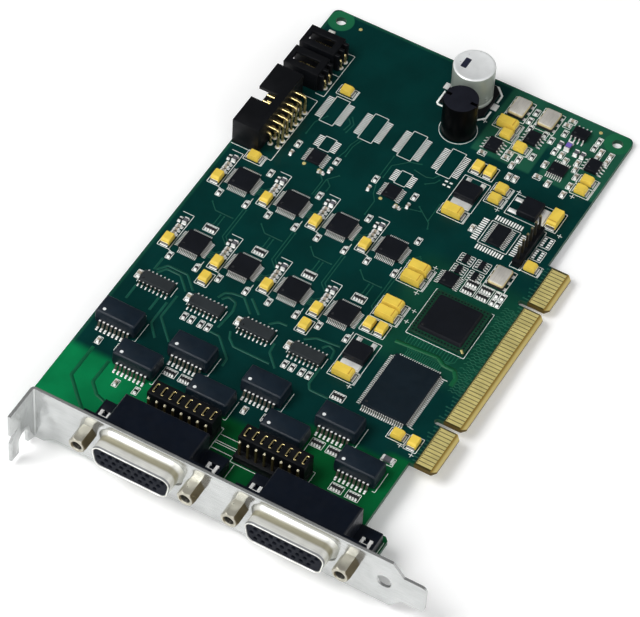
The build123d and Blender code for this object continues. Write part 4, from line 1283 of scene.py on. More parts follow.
@dataclass(frozen=True)
class LeadForm:
    """Gull-wing lead, drawn from the body's side at the origin towards +X."""

    reach: float
    height: float
    width: float
    foot: float
    thick: float
    root: float = 0.2
    knee: float = 0.25
    solder: float = 0.03
    heel_pad: float = 0.3
    heel_rise: Flat = (0.2, 0.1)
    toe_pad: float = 0.4
    toe_rise: float = 0.14

    def shape(self) -> MeshMaker:
        """Draw the bent strip of one lead.

        Returns:
            The maker that holds it.
        """
        half = self.thick / 2
        low, high = self.height - half, self.height + half
        knee, heel, sole = self.knee * self.reach, self.reach - self.foot, self.solder + self.thick
        return MeshMaker().strap((
            (-self.root, high), (knee, high), (heel + half, sole), (self.reach, sole),
            (self.reach, self.solder), (heel - half, self.solder), (knee - half, low), (-self.root, low),
        ), self.width)

    def pad(self) -> MeshMaker:
        """Draw the solder pad under the foot, with its fillet.

        Returns:
            The maker that holds it.
        """
        heel, toe = self.reach - self.foot - self.heel_pad, self.reach + self.toe_pad
        run, rise = self.heel_rise
        return MeshMaker().strap((
            (heel, 0.0), (toe, 0.0), (toe, self.solder), (self.reach, self.toe_rise), (heel + run, rise),
            (heel, self.solder),
        ), self.width)


@dataclass
class LeadBank:
    """All the leads of one form on the card."""

    name: str
    form: LeadForm
    finish: Finish = FINE_TIN
    places: Scatter = field(default_factory=Scatter)

    def row(self, box: Box, side: Side, count: int, pitch: float) -> None:
        """Add a row of leads along one side of a body."""
        long = box.size[1] if side in UPRIGHT else box.size[0]
        self.places.row(box.mid, side, long / 2, count, pitch)

    def fit(self) -> None:
        """Make the leads and their solder pads and fasten them."""
        self.places.fit(f"{self.name}_leads", self.form.shape(), self.finish)
        self.places.fit(f"{self.name}_pads", self.form.pad(), SOLDER_TIN)


@dataclass
class Transformers:
    """Eight coupling transformers in moulded cases."""

    leads: int = 8
    stand_off: float = 0.4
    draft: float = 0.16
    seam: float = 0.08
    chamfer: float = 0.4
    chamfer_mid: float = 0.12
    foot_corner: float = 0.25
    seam_corner: float = 0.3
    top_corner: float = 0.35
    dot_radius: float = 0.5
    dot_rise: float = 0.01
    dot_shift: Flat = (-1.75, 4.1)
    lead: LeadForm = LeadForm(reach=2.0, height=1.7, width=0.6, foot=0.9, thick=0.25)

    def build(self) -> None:
        """Make the cases, their dots and their leads."""
        bank = LeadBank("transformer", self.lead, LEAD_TIN)
        dots = MeshMaker()
        less, seam = 2 * self.draft, self.lead.height
        for number in CHANNELS:
            node = f"transformer_{number}"
            box = Box.of(node)
            high = box.hi[2]
            case = MeshMaker().tower(box.mid, box.size, (
                (self.stand_off, less, self.foot_corner),
                (seam, 0, self.seam_corner),
                (seam + self.seam, 0, self.seam_corner),
                (high - self.chamfer, less, self.top_corner),
                (high - self.chamfer_mid, less + self.chamfer, self.top_corner),
                (high, less + 2 * self.chamfer, self.seam_corner),
            ), steps=3)
            case.fit(f"transformer_case_{number}", TRANSFORMER_EPOXY, nodes=(node,), smooth=30)
            place = (box.mid[0] + self.dot_shift[0], box.mid[1] + self.dot_shift[1])
            dots.disc(place, self.dot_radius, high + self.dot_rise, count=16)
            for side in ACROSS:
                bank.row(box, side, self.leads, LEAD_PITCH)
        dots.fit("transformer_dots", MARK_WHITE)
        bank.fit()


@dataclass
class FlatChips:
    """Moulded chips with gull-wing leads: receivers, drivers, memory and small ones."""

    lift: float = 0.12
    draft: float = 0.14
    edge: float = 0.06
    dimple: float = 0.45
    dimple_share: float = 0.1
    dimple_inset: float = 2.4
    dimple_rise: float = 0.006
    receiver_leads: int = 12
    receiver_pitch: float = 0.5
    driver_leads: int = 8
    memory_ends: int = 20
    memory_sides: int = 30
    mini_below: float = 2.0
    mini_leads: int = 3
    mini_pitch: float = 0.95
    narrow_below: float = 4.2
    narrow_leads: int = 4
    row_inset: float = 0.4
    fine: LeadForm = LeadForm(reach=1.0, height=0.75, width=0.19, foot=0.45, thick=0.12)
    medium: LeadForm = LeadForm(reach=1.0, height=0.75, width=0.27, foot=0.45, thick=0.13)
    wide: LeadForm = LeadForm(reach=1.05, height=0.85, width=0.38, foot=0.5, thick=0.18)
    thin: LeadForm = LeadForm(reach=1.0, height=0.5, width=0.24, foot=0.5, thick=0.12)
    stub: LeadForm = LeadForm(reach=0.6, height=0.5, width=0.4, foot=0.3, thick=0.13)

    def bodies(self, name: str, node: str, finish: Finish = CHIP_EPOXY) -> None:
        """Make the epoxy bodies of some chips with the dimple that marks their first lead.

        Args:
            name: Name of the new piece.
            node: CAD node that the piece stands for, with one solid for each chip.
            finish: Finish of the epoxy.
        """
        maker = MeshMaker()
        for box in solids(node):
            maker.moulded(box, self.lift, self.draft, self.edge)
            radius = min(self.dimple, self.dimple_share * min(box.size[:2]))
            inset = self.draft + self.dimple_inset * radius
            place = (box.lo[0] + inset, box.hi[1] - inset)
            maker.disc(place, radius, box.hi[2] + self.dimple_rise, count=14, tint=1)
        maker.fit(name, finish, CHIP_DIMPLE, nodes=(node,), smooth=25)

    def small_leads(self) -> list[LeadBank]:
        """Lay out the leads of the small chips along their long sides.

        Returns:
            The banks of leads.
        """
        narrow = LeadBank("eight_lead_chip", self.wide)
        thin = LeadBank("small_chip", self.thin)
        stub = LeadBank("mini_chip", self.stub)
        for box in solids("small_chips"):
            short, long = sorted(box.size[:2])
            for side in ACROSS if box.runs_along_y else UPRIGHT:
                if short < self.mini_below:
                    stub.row(box, side, self.mini_leads, self.mini_pitch)
                elif short < self.narrow_below:
                    narrow.row(box, side, self.narrow_leads, LEAD_PITCH)
                else:
                    thin.row(box, side, round((long - self.row_inset) / FINE_PITCH) + 1, FINE_PITCH)
        return [narrow, thin, stub]

    def build(self) -> None:
        """Make every chip body and every bank of leads."""
        receivers = LeadBank("receiver", self.fine)
        for number in CHANNELS:
            node = f"receiver_chip_{number}"
            self.bodies(f"receiver_body_{number}", node)
            for side in Side:
                receivers.row(Box.of(node), side, self.receiver_leads, self.receiver_pitch)
        drivers = LeadBank("driver", self.wide, LEAD_TIN)
        self.bodies("driver_bodies", "driver_chips", DRIVER_EPOXY)
        for box in solids("driver_chips"):
            for side in ACROSS:
                drivers.row(box, side, self.driver_leads, LEAD_PITCH)
        memory = LeadBank("memory", self.medium)
        self.bodies("memory_body", "memory_chip", MEMORY_EPOXY)
        for side in Side:
            count = self.memory_ends if side in ACROSS else self.memory_sides
            memory.row(Box.of("memory_chip"), side, count, FINE_PITCH)
        self.bodies("small_chip_bodies", "small_chips")
        for bank in (receivers, memory, drivers, *self.small_leads()):
            bank.fit()


@dataclass
class LogicChip:
    """Ball-grid chip: substrate with its vias and corner mark, moulded cap and the outer balls."""

    ball_pitch: float = 1.0
    balls: int = 16
    ball_profile: Line = ((0.2, 0.0), (0.3, 0.14), (0.3, 0.28), (0.2, 0.42))
    substrate_top: float = 1.0
    substrate_edge: float = 0.04
    substrate_corner: float = 0.1
    cap: float = 13.8
    cap_root: Flat = (0.25, 0.2)
    cap_lean: float = 0.5
    cap_edge: float = 0.08
    cap_corner: float = 0.5
    cap_top_corner: float = 0.45
    dimple: float = 0.45
    dimple_shift: float = 5.6
    dimple_rise: float = 0.006
    sink: float = 0.01
    mark_run: Flat = (1.2, 0.2)
    mark_section: Flat = (0.6, 0.06)
    mark_bend: float = 0.1
    via_profile: Line = ((0.32, -0.05), (0.32, 0.008), (0.26, 0.015))

    def ring(self, box: Box, reach: float, level: float = 0.0) -> Scatter:
        """Places at the pitch of the balls round the chip.

        Args:
            box: Room that the chip fills.
            reach: Distance from the middle to each row.
            level: Height of the places.

        Returns:
            The places.
        """
        places = Scatter()
        start = (1 - self.balls) / 2 * self.ball_pitch
        for side in Side:
            for index in range(self.balls - 1):
                places.put(*side.off(box.mid, reach, start + index * self.ball_pitch), level)
        return places

    def build(self) -> None:
        """Make the substrate, cap, balls, corner mark and vias."""
        box = Box.of("logic_chip")
        (x, y, _), (long, _, high) = box.mid, box.size
        top, lean = self.substrate_top, 2 * self.cap_lean
        root_height, root_less = self.cap_root
        maker = MeshMaker()
        maker.tower(box.mid, box.size, (
            (self.ball_profile[-1][1], 0, self.substrate_corner),
            (top - self.substrate_edge, 0, self.substrate_corner),
            (top, 2 * self.substrate_edge, self.substrate_corner),
        ), tint=1)
        maker.tower(box.mid, (self.cap, self.cap), (
            (top - self.sink, 0, self.cap_corner),
            (top + root_height, root_less, self.cap_corner),
            (high - self.cap_edge, lean, self.cap_corner),
            (high, lean + 2 * self.cap_edge, self.cap_top_corner),
        ), steps=3)
        place = (x - self.dimple_shift, y + self.dimple_shift)
        maker.disc(place, self.dimple, high + self.dimple_rise, count=16, tint=2)
        maker.fit("logic_package", CHIP_EPOXY, LOGIC_BASE, CHIP_DIMPLE, nodes=("logic_chip",), smooth=25)
        outer = (self.balls - 1) / 2 * self.ball_pitch
        ball = MeshMaker().lathe(ORIGIN, self.ball_profile, count=8)
        self.ring(box, outer).fit("logic_balls", ball, SOLDER_TIN)
        mark = [(box.lo[0] + inset, box.lo[1] + inset) for inset in self.mark_run]
        Paths(top, mark).fit("logic_corner_mark", self.mark_section, self.mark_bend, GOLD)
        vias = self.ring(box, (long + self.cap) / 4, top)
        vias.fit("logic_vias", MeshMaker().lathe(ORIGIN, self.via_profile, count=8), CHIP_EPOXY)


@dataclass
class Tantalums:
    """Yellow moulded capacitors with a bevelled, banded end and tin terminals."""

    lift: float = 0.12
    parting: float = 0.5
    seam: float = 0.03
    seam_step: float = 0.02
    bevel: float = 0.5
    bevel_share: float = 0.8
    side_draft: float = 0.07
    top_draft: float = 0.14
    draft_share: float = 0.7
    top_edge: float = 0.07
    corner: float = 0.12
    banded_from: float = 5.0
    band_gap: float = 0.12
    band_side: float = 0.3
    band_depth: float = 0.32
    band_low: float = 0.04
    band_rise: float = 0.008
    strap: float = 0.14
    strap_share: float = 0.78
    strap_root: float = 0.3
    strap_foot: Flat = (0.03, 0.16)
    strap_gap: float = 0.02
    pad_heel: Flat = (-0.4, 0.06)
    pad_slope: Line = ((0.6, 0.05), (0.4, 0.12))
    pad_rise: float = 0.36
    pad_margin: float = 0.25
    nodes: tuple[str, ...] = ("tantalum_capacitors_small", "tantalum_capacitors_large")

    def ring(self, box: Box, z: float, inset: float, front: float = 0.0) -> list[Point]:
        """Level outline of a body.

        Args:
            box: Room that the body fills.
            z: Height of the outline.
            inset: How far it lies inside the box.
            front: How much further its banded end, in the south or the west, lies in.

        Returns:
            Points of the outline.
        """
        x, y, _ = box.mid
        long_x, long_y = (length - 2 * inset for length in box.size[:2])
        if box.runs_along_y:
            centre, size = (x, y + front / 2), (long_x, long_y - front)
        else:
            centre, size = (x + front / 2, y), (long_x - front, long_y)
        return [(x, y, z) for x, y in rounded_rect(centre, size, self.corner, 1)]

    def body(self, maker: MeshMaker, box: Box) -> None:
        """Add one moulded body, with a band where it is large.

        Args:
            maker: Where the body goes.
            box: Room that it fills.
        """
        high = box.hi[2]
        middle = self.parting * high
        maker.loft([
            self.ring(box, self.lift, self.side_draft),
            self.ring(box, middle - self.seam, 0.0),
            self.ring(box, middle + self.seam, self.seam_step),
            self.ring(box, high - self.bevel, self.top_draft * self.draft_share),
            self.ring(box, high - self.top_edge, self.top_draft, self.bevel * self.bevel_share),
            self.ring(box, high, self.top_draft + self.top_edge, self.bevel),
        ])
        if max(box.size[:2]) < self.banded_from:
            return
        start = self.top_draft + self.top_edge + self.bevel + self.band_gap
        stop, side = start + self.band_depth, self.band_side
        (west, south, _), (east, north, _) = box.lo, box.hi
        if box.runs_along_y:
            band = Box((west + side, south + start, high), (east - side, south + stop, high))
        else:
            band = Box((west + start, south + side, high), (west + stop, north - side, high))
        maker.sheet(band.outline(), high - self.band_low, high + self.band_rise, tint=1)

    def terminal(self, wide: float, tall: float) -> MeshMaker:
        """Draw the strap and the soldered pad of one terminal, pointing east.

        Args:
            wide: Width of the strap.
            tall: Height of the strap.

        Returns:
            The maker that holds them.
        """
        low, high = self.strap_foot
        root, heel = -self.strap_root, self.pad_heel[0]
        maker = MeshMaker().strap((
            (root, low), (self.strap, low), (self.strap, tall),
            (-self.strap_gap, tall), (-self.strap_gap, high), (root, high),
        ), wide)
        toe = self.pad_slope[0][0]
        profile = ((heel, 0.0), (toe, 0.0), *self.pad_slope, (self.strap, self.pad_rise), self.pad_heel)
        return maker.strap(profile, wide + self.pad_margin)

    def build(self) -> None:
        """Make all bodies and terminals, one piece for each size."""
        for node in self.nodes:
            name = node.rsplit("_", 1)[-1]
            maker, ends = MeshMaker(), Scatter()
            for box in solids(node):
                self.body(maker, box)
                for side in UPRIGHT if box.runs_along_y else ACROSS:
                    ends.row(box.mid, side, max(box.size[:2]) / 2)
            maker.fit(f"tantalum_bodies_{name}", TANTALUM_RESIN, TANTALUM_BAND, nodes=(node,))
            size = solids(node)[0].size
            shape = self.terminal(min(size[:2]) * self.strap_share, size[2] * self.parting - self.seam)
            ends.fit(f"tantalum_terminals_{name}", shape, LEAD_TIN)


@dataclass(frozen=True)
class PassiveForm:
    """Chip part with tin ends on solder pads, drawn with its ends to the east and the west."""

    size: Point
    end: float
    finish: Finish
    lanes: int = 1
    lane_pitch: float = 0.8
    lane_width: float = 0.0
    overlap: float = 0.02
    skin: float = 0.03
    body_lift: float = 0.04
    body_edge: float = 0.04
    end_edge: float = 0.05
    toe: float = 0.38
    pad_margin: float = 0.06
    pad_height: float = 0.06
    pad_edge: float = 0.02

    def body(self) -> MeshMaker:
        """Draw the body between the ends.

        Returns:
            The maker that holds it.
        """
        long, wide, high = self.size
        size = (long - 2 * (self.end - self.overlap), wide - 2 * self.skin)
        return MeshMaker().block(Box.around(ORIGIN, size, self.body_lift, high - self.skin), self.body_edge)

    def ends(self) -> MeshMaker:
        """Draw the tin ends and their pads in each lane.

        Returns:
            The maker that holds them.
        """
        maker = MeshMaker()
        long, wide, high = self.size
        wide = self.lane_width or wide
        for lane in range(self.lanes):
            y = (lane - (self.lanes - 1) / 2) * self.lane_pitch
            for way in (-1, 1):
                middle = way * (long - self.end) / 2
                end = Box.around((middle, y), (self.end, wide), self.skin, high)
                size = (self.end + self.toe, wide + 2 * self.pad_margin)
                pad = Box.around((middle + way * self.toe / 2, y), size, 0.0, self.pad_height)
                maker.block(end, self.end_edge).block(pad, self.pad_edge)
        return maker


class Passive(Enum):
    """Kinds of chip parts."""

    RESISTOR = PassiveForm((1.6, 0.8, 0.45), 0.432, RESISTOR_BLACK)
    CAPACITOR = PassiveForm((1.6, 0.8, 0.8), 0.384, CAPACITOR_TAN)
    LARGE_CAPACITOR = PassiveForm((2.0, 1.25, 0.9), 0.44, CAPACITOR_TAN)
    BEAD = PassiveForm((2.0, 1.25, 0.91), 0.4, BEAD_GREY)
    LONG_BEAD = PassiveForm((3.2, 1.6, 1.1), 0.544, BEAD_GREY)
    ARRAY = PassiveForm((1.6, 3.2, 0.5), 0.35, RESISTOR_BLACK, lanes=4, lane_width=0.5, overlap=0.1)


@dataclass(frozen=True)
class PassiveGroup:
    """Chip parts of one kind that point one way, with or without a frame of the legend round each."""

    kind: Passive
    places: Line
    side: Side = Side.EAST
    framed: bool = True


@dataclass
class Passives:
    """Chip resistors, capacitors, beads and arrays all over the card, and the indicator.

    The parts of receivers, drivers and transformers are counted from the middle of the larger part.
    """

    frame_margin: Flat = (0.55, 0.35)
    receiver_parts: tuple[PassiveGroup, ...] = (
        PassiveGroup(Passive.RESISTOR, ((-6.9, 4.0), (-6.9, -4.7))),
        PassiveGroup(Passive.CAPACITOR, ((0.4, 7.05), (1.9, 7.05), (3.4, 7.05)), Side.NORTH, framed=False),
        PassiveGroup(Passive.RESISTOR, ((5.8, 8.2),), framed=False),
        PassiveGroup(Passive.BEAD, ((5.9, 6.5),), framed=False),
    )
    near_part: PassiveGroup = PassiveGroup(Passive.ARRAY, ((7.3, -0.8),))
    far_part: PassiveGroup = PassiveGroup(Passive.RESISTOR, ((6.8, -4.8),))
    plain_driver: tuple[PassiveGroup, ...] = (PassiveGroup(Passive.LARGE_CAPACITOR, ((0.6, 6.0),)),)
    full_driver: tuple[PassiveGroup, ...] = (
        *plain_driver,
        PassiveGroup(Passive.RESISTOR, ((-5.7, 3.7), (-5.7, 1.4), (-5.7, -1.6), (-5.7, -3.8))),
    )
    loaded_transformers: tuple[int, ...] = (1, 2, 3, 4, 5, 8)
    odd_transformer: tuple[PassiveGroup, ...] = (
        PassiveGroup(Passive.CAPACITOR, ((-8.3, 1.9),)), PassiveGroup(Passive.RESISTOR, ((-7.8, -4.1),)),
    )
    even_transformer: tuple[PassiveGroup, ...] = (PassiveGroup(Passive.ARRAY, ((-7.8, 2.6), (-7.8, -2.4))),)
    footprint_y: tuple[float, ...] = (81.4, 68.8, 56.2, 43.6)
    banded_bead: Flat = (105.9, 15.2)
    single_parts: tuple[PassiveGroup, ...] = (
        PassiveGroup(Passive.LONG_BEAD, ((-18.4, 5.1),), Side.NORTH),
        PassiveGroup(Passive.ARRAY, ((-6.7, 27.0), (44.3, 14.6), (44.3, 10.2), (47.1, 14.6), (47.1, 10.2))),
        PassiveGroup(Passive.RESISTOR, (
            (109.0, 29.2), (112.8, 29.0), (94.3, 25.2), (97.2, 22.3), (106.5, 27.8), (106.5, 23.0),
            (102.4, 17.8), (110.0, 18.4), (109.5, 8.7), (112.5, 8.6), (105.6, 20.6), (44.3, 6.9),
            (44.3, 5.2), (47.1, 6.9), (47.1, 5.2),
        )),
        PassiveGroup(Passive.CAPACITOR, (
            (102.2, 15.5), (100.7, 13.5), (93.0, 8.2), (97.0, 8.2), (106.5, 6.3), (109.0, 6.3), (106.2, 3.2),
            (109.0, 3.2), (87.2, 24.6), (87.2, 22.6), (96.6, 17.9), (99.4, 9.6), (101.8, 10.2), (90.6, 13.9),
            (89.2, 8.4), (91.4, 25.8), (64.9, 24.3),
        )),
        PassiveGroup(Passive.CAPACITOR, (
            (91.1, 35.3), (91.3, 17.6), (93.0, 28.6), (95.0, 28.6), (113.0, 19.2), (115.2, 18.6),
        ), Side.NORTH),
        PassiveGroup(Passive.BEAD, ((104.9, 10.2), (104.8, 12.2), (105.4, 17.5)), framed=False),
        PassiveGroup(Passive.LONG_BEAD, (banded_bead,), framed=False),
        PassiveGroup(Passive.RESISTOR, tuple((66.4, y) for y in footprint_y)),
        PassiveGroup(Passive.CAPACITOR, tuple((62.4, y) for y in footprint_y), framed=False),
        PassiveGroup(Passive.CAPACITOR, ((60.2, 70.6), (60.2, 46.0)), Side.NORTH, framed=False),
    )
    indicator_share: float = 0.6
    indicator_edge: float = 0.05
    lens_margin: Flat = (0.6, 0.3)
    lens_levels: tuple[Point, ...] = ((0.1, 0.1, 0.2), (0.0, 0.3, 0.2))
    lens_corner: float = 0.2
    lens_sink: float = 0.01
    band_size: Flat = (1.6, 1.56)
    band_heights: Flat = (1.0, 1.12)
    band_edge: float = 0.03
    places: dict[Passive, Scatter] = field(default_factory=lambda: {kind: Scatter() for kind in Passive})
    frames: list[Box] = field(default_factory=list)

    def put(self, groups: Iterable[PassiveGroup], centre: Sequence[float] = ORIGIN) -> None:
        """Add some groups of parts.

        Args:
            groups: The groups.
            centre: Place that the parts are counted from.
        """
        for group in groups:
            size = group.kind.value.size[:2]
            long, wide = size if group.side in ACROSS else reversed(size)
            frame = (long + 2 * self.frame_margin[0], wide + 2 * self.frame_margin[1])
            for shift_x, shift_y in group.places:
                place = (centre[0] + shift_x, centre[1] + shift_y)
                self.places[group.kind].put(*place, 0.0, group.side)
                if group.framed:
                    self.frames.append(Box.around(place, frame))

    def lay_out(self) -> None:
        """Add the parts beside the chips and transformers of every channel, and the single ones."""
        for number in CHANNELS:
            own = self.near_part if number in NEAR_CHANNELS else self.far_part
            self.put((*self.receiver_parts, own), Box.of(f"receiver_chip_{number}").mid)
        for index, box in enumerate(solids("driver_chips")):
            self.put(self.plain_driver if index % 2 else self.full_driver, box.mid)
        for number in self.loaded_transformers:
            groups = self.odd_transformer if number % 2 else self.even_transformer
            self.put(groups, Box.of(f"transformer_{number}").mid)
        self.put(self.single_parts)

    def indicator(self) -> None:
        """Make the indicator, which is the chip part that lies furthest to the east."""
        box = max(solids("chip_passives"), key=lambda box: box.lo[0])
        high = box.size[2]
        rise = self.indicator_share * high
        base = Box((*box.lo[:2], PassiveForm.skin), (*box.hi[:2], rise))
        lens = (box.size[0] - self.lens_margin[0], box.size[1] - self.lens_margin[1])
        levels = [(high - drop, less, corner) for drop, less, corner in self.lens_levels]
        maker = MeshMaker().block(base, self.indicator_edge)
        maker.tower(box.mid, lens, ((rise - self.lens_sink, 0, self.lens_corner), *levels))
        maker.fit("indicator", INDICATOR_LENS, smooth=40)

    def build(self) -> None:
        """Make the bodies and ends of every kind, the indicator and the band of the long bead."""
        self.lay_out()
        nodes = ("chip_passives",)
        for kind, places in self.places.items():
            name = kind.name.lower()
            places.fit(f"{name}_bodies", kind.value.body(), kind.value.finish, nodes)
            places.fit(f"{name}_ends", kind.value.ends(), SOLDER_TIN)
            nodes = ()
        self.indicator()
        band = Box.around(self.banded_bead, self.band_size, *self.band_heights)
        MeshMaker().block(band, self.band_edge).fit("bead_band", BAND_VIOLET)


@dataclass
class Regulators:
    """Three regulators with a soldered metal tab and two outer leads."""

    lift: float = 0.03
    draft: float = 0.16
    edge: float = 0.14
    metal_edge: float = 0.08
    pad_margin: float = 0.35
    pad_height: float = 0.07
    pad_edge: float = 0.03

    def build(self) -> None:
        """Make the bodies, the tabs and leads, and their pads."""
        cases, pads = MeshMaker(), MeshMaker()
        for box in solids("regulator_bodies"):
            cases.moulded(box, self.lift, self.draft, self.edge)
        for box in solids("regulator_tabs"):
            size = (box.size[0] + 2 * self.pad_margin, box.size[1] + 2 * self.pad_margin)
            pads.block(Box.around(box.mid, size, 0.0, self.pad_height), self.pad_edge)
        cases.fit("regulator_cases", CHIP_EPOXY, nodes=("regulator_bodies",), smooth=25)
        soften("regulator_tabs", "regulator_metal", SOLDER_TIN, self.metal_edge)
        pads.fit("regulator_pads", SOLDER_TIN)


@dataclass
class Oscillators:
    """Three oscillators: ceramic base, gold seam and pressed steel lid."""

    base_low: float = 0.08
    base_top: float = 1.0
    base_corner: float = 0.25
    rim: float = 0.3
    seam: float = 0.6
    seam_margin: float = 0.36
    sink: float = 0.01
    lid_levels: tuple[Point, ...] = ((0.16, 0.0, 0.5), (0.05, 0.1, 0.5), (0.0, 0.3, 0.4))
    pad_pitch: float = 2.6
    pad_size: Flat = (1.1, 1.4)
    pad_height: float = 0.1
    pad_inset: float = 0.1
    pad_edge: float = 0.03

    def build(self) -> None:
        """Make the three cans and their pads."""
        cans, pads = MeshMaker(), MeshMaker()
        corner = self.lid_levels[0][2]
        base, seam = self.base_top, self.base_top + self.seam
        for box in solids("oscillators"):
            lid = [length - 2 * self.rim for length in box.size[:2]]
            rest = [(box.size[2] - drop, less, radius) for drop, less, radius in self.lid_levels]
            cans.tower(box.mid, box.size, [(z, 0, self.base_corner) for z in (self.base_low, base)], tint=1)
            ring = [(z, -self.seam_margin, corner) for z in (base - self.sink, seam)]
            cans.tower(box.mid, lid, ring, tint=2, steps=4)
            cans.tower(box.mid, lid, [(seam - self.sink, 0, corner), *rest], steps=5)
            for step in (-1, 0, 1):
                for side in UPRIGHT:
                    middle = (box.mid[0] + step * self.pad_pitch, box.mid[1])
                    place = side.off(middle, box.size[1] / 2 - self.pad_inset)
                    pads.block(Box.around(place, self.pad_size, 0.0, self.pad_height), self.pad_edge)
        cans.fit("oscillator_cans", LID_STEEL, CERAMIC_DARK, LID_SEAM, nodes=("oscillators",), smooth=30)
        pads.fit("oscillator_pads", SOLDER_TIN)


@dataclass
class CanCapacitor:
    """Electrolytic capacitor: crimped can with a polarity bar on a notched base.

    The profile is an inset from the can's radius, with a rise from its foot or a drop from its top.
    """

    segments: int = 72
    foot: Line = ((0.5, 0.0), (0.12, 0.06), (0.0, 0.3), (0.0, 0.75))
    crimp: Line = ((0.1, 0.98), (0.32, 1.2), (0.32, 1.4), (0.1, 1.65), (0.0, 1.9))
    top: Line = ((0.0, 0.6), (0.08, 0.28), (0.3, 0.08), (0.6, 0.0), (0.85, 0.0), (0.95, 0.05))
    mark_size: Flat = (3.9, 1.8)
    mark_shift: Flat = (-0.5, 2.5)
    mark_corner: float = 0.25
    mark_drop: Flat = (0.06, 0.03)
    base_edge: float = 0.18
    terminal_edge: float = 0.06

    def build(self) -> None:
        """Make the can, its mark, its base and its terminals."""
        box = Box.of("capacitor_can")
        low, high, radius = box.lo[2], box.hi[2], box.size[0] / 2
        profile = [(radius - inset, low + rise) for inset, rise in (*self.foot, *self.crimp)]
        profile.extend((radius - inset, high - drop) for inset, drop in self.top)
        place = (box.mid[0] + self.mark_shift[0], box.mid[1] + self.mark_shift[1])
        mark = rounded_rect(place, self.mark_size, self.mark_corner)
        can = MeshMaker().lathe(box.mid, profile, self.segments)
        can.sheet(mark, *(high - drop for drop in self.mark_drop), tint=1)
        can.fit("capacitor_body", CAN_ALUMINIUM, CAN_MARK, nodes=("capacitor_can",), smooth=32)
        soften("capacitor_base", "capacitor_foot", HEADER_BLACK, self.base_edge)
        soften("capacitor_terminals", "capacitor_tabs", SOLDER_TIN, self.terminal_edge)


@dataclass
class Choke:
    """Wound choke in a shrunk black sleeve with two notches in its top."""

    edge: float = 0.45

    def build(self) -> None:
        """Soften the sleeve's rim and its notches."""
        soften("choke", "choke_body", SLEEVE_BLACK, self.edge)


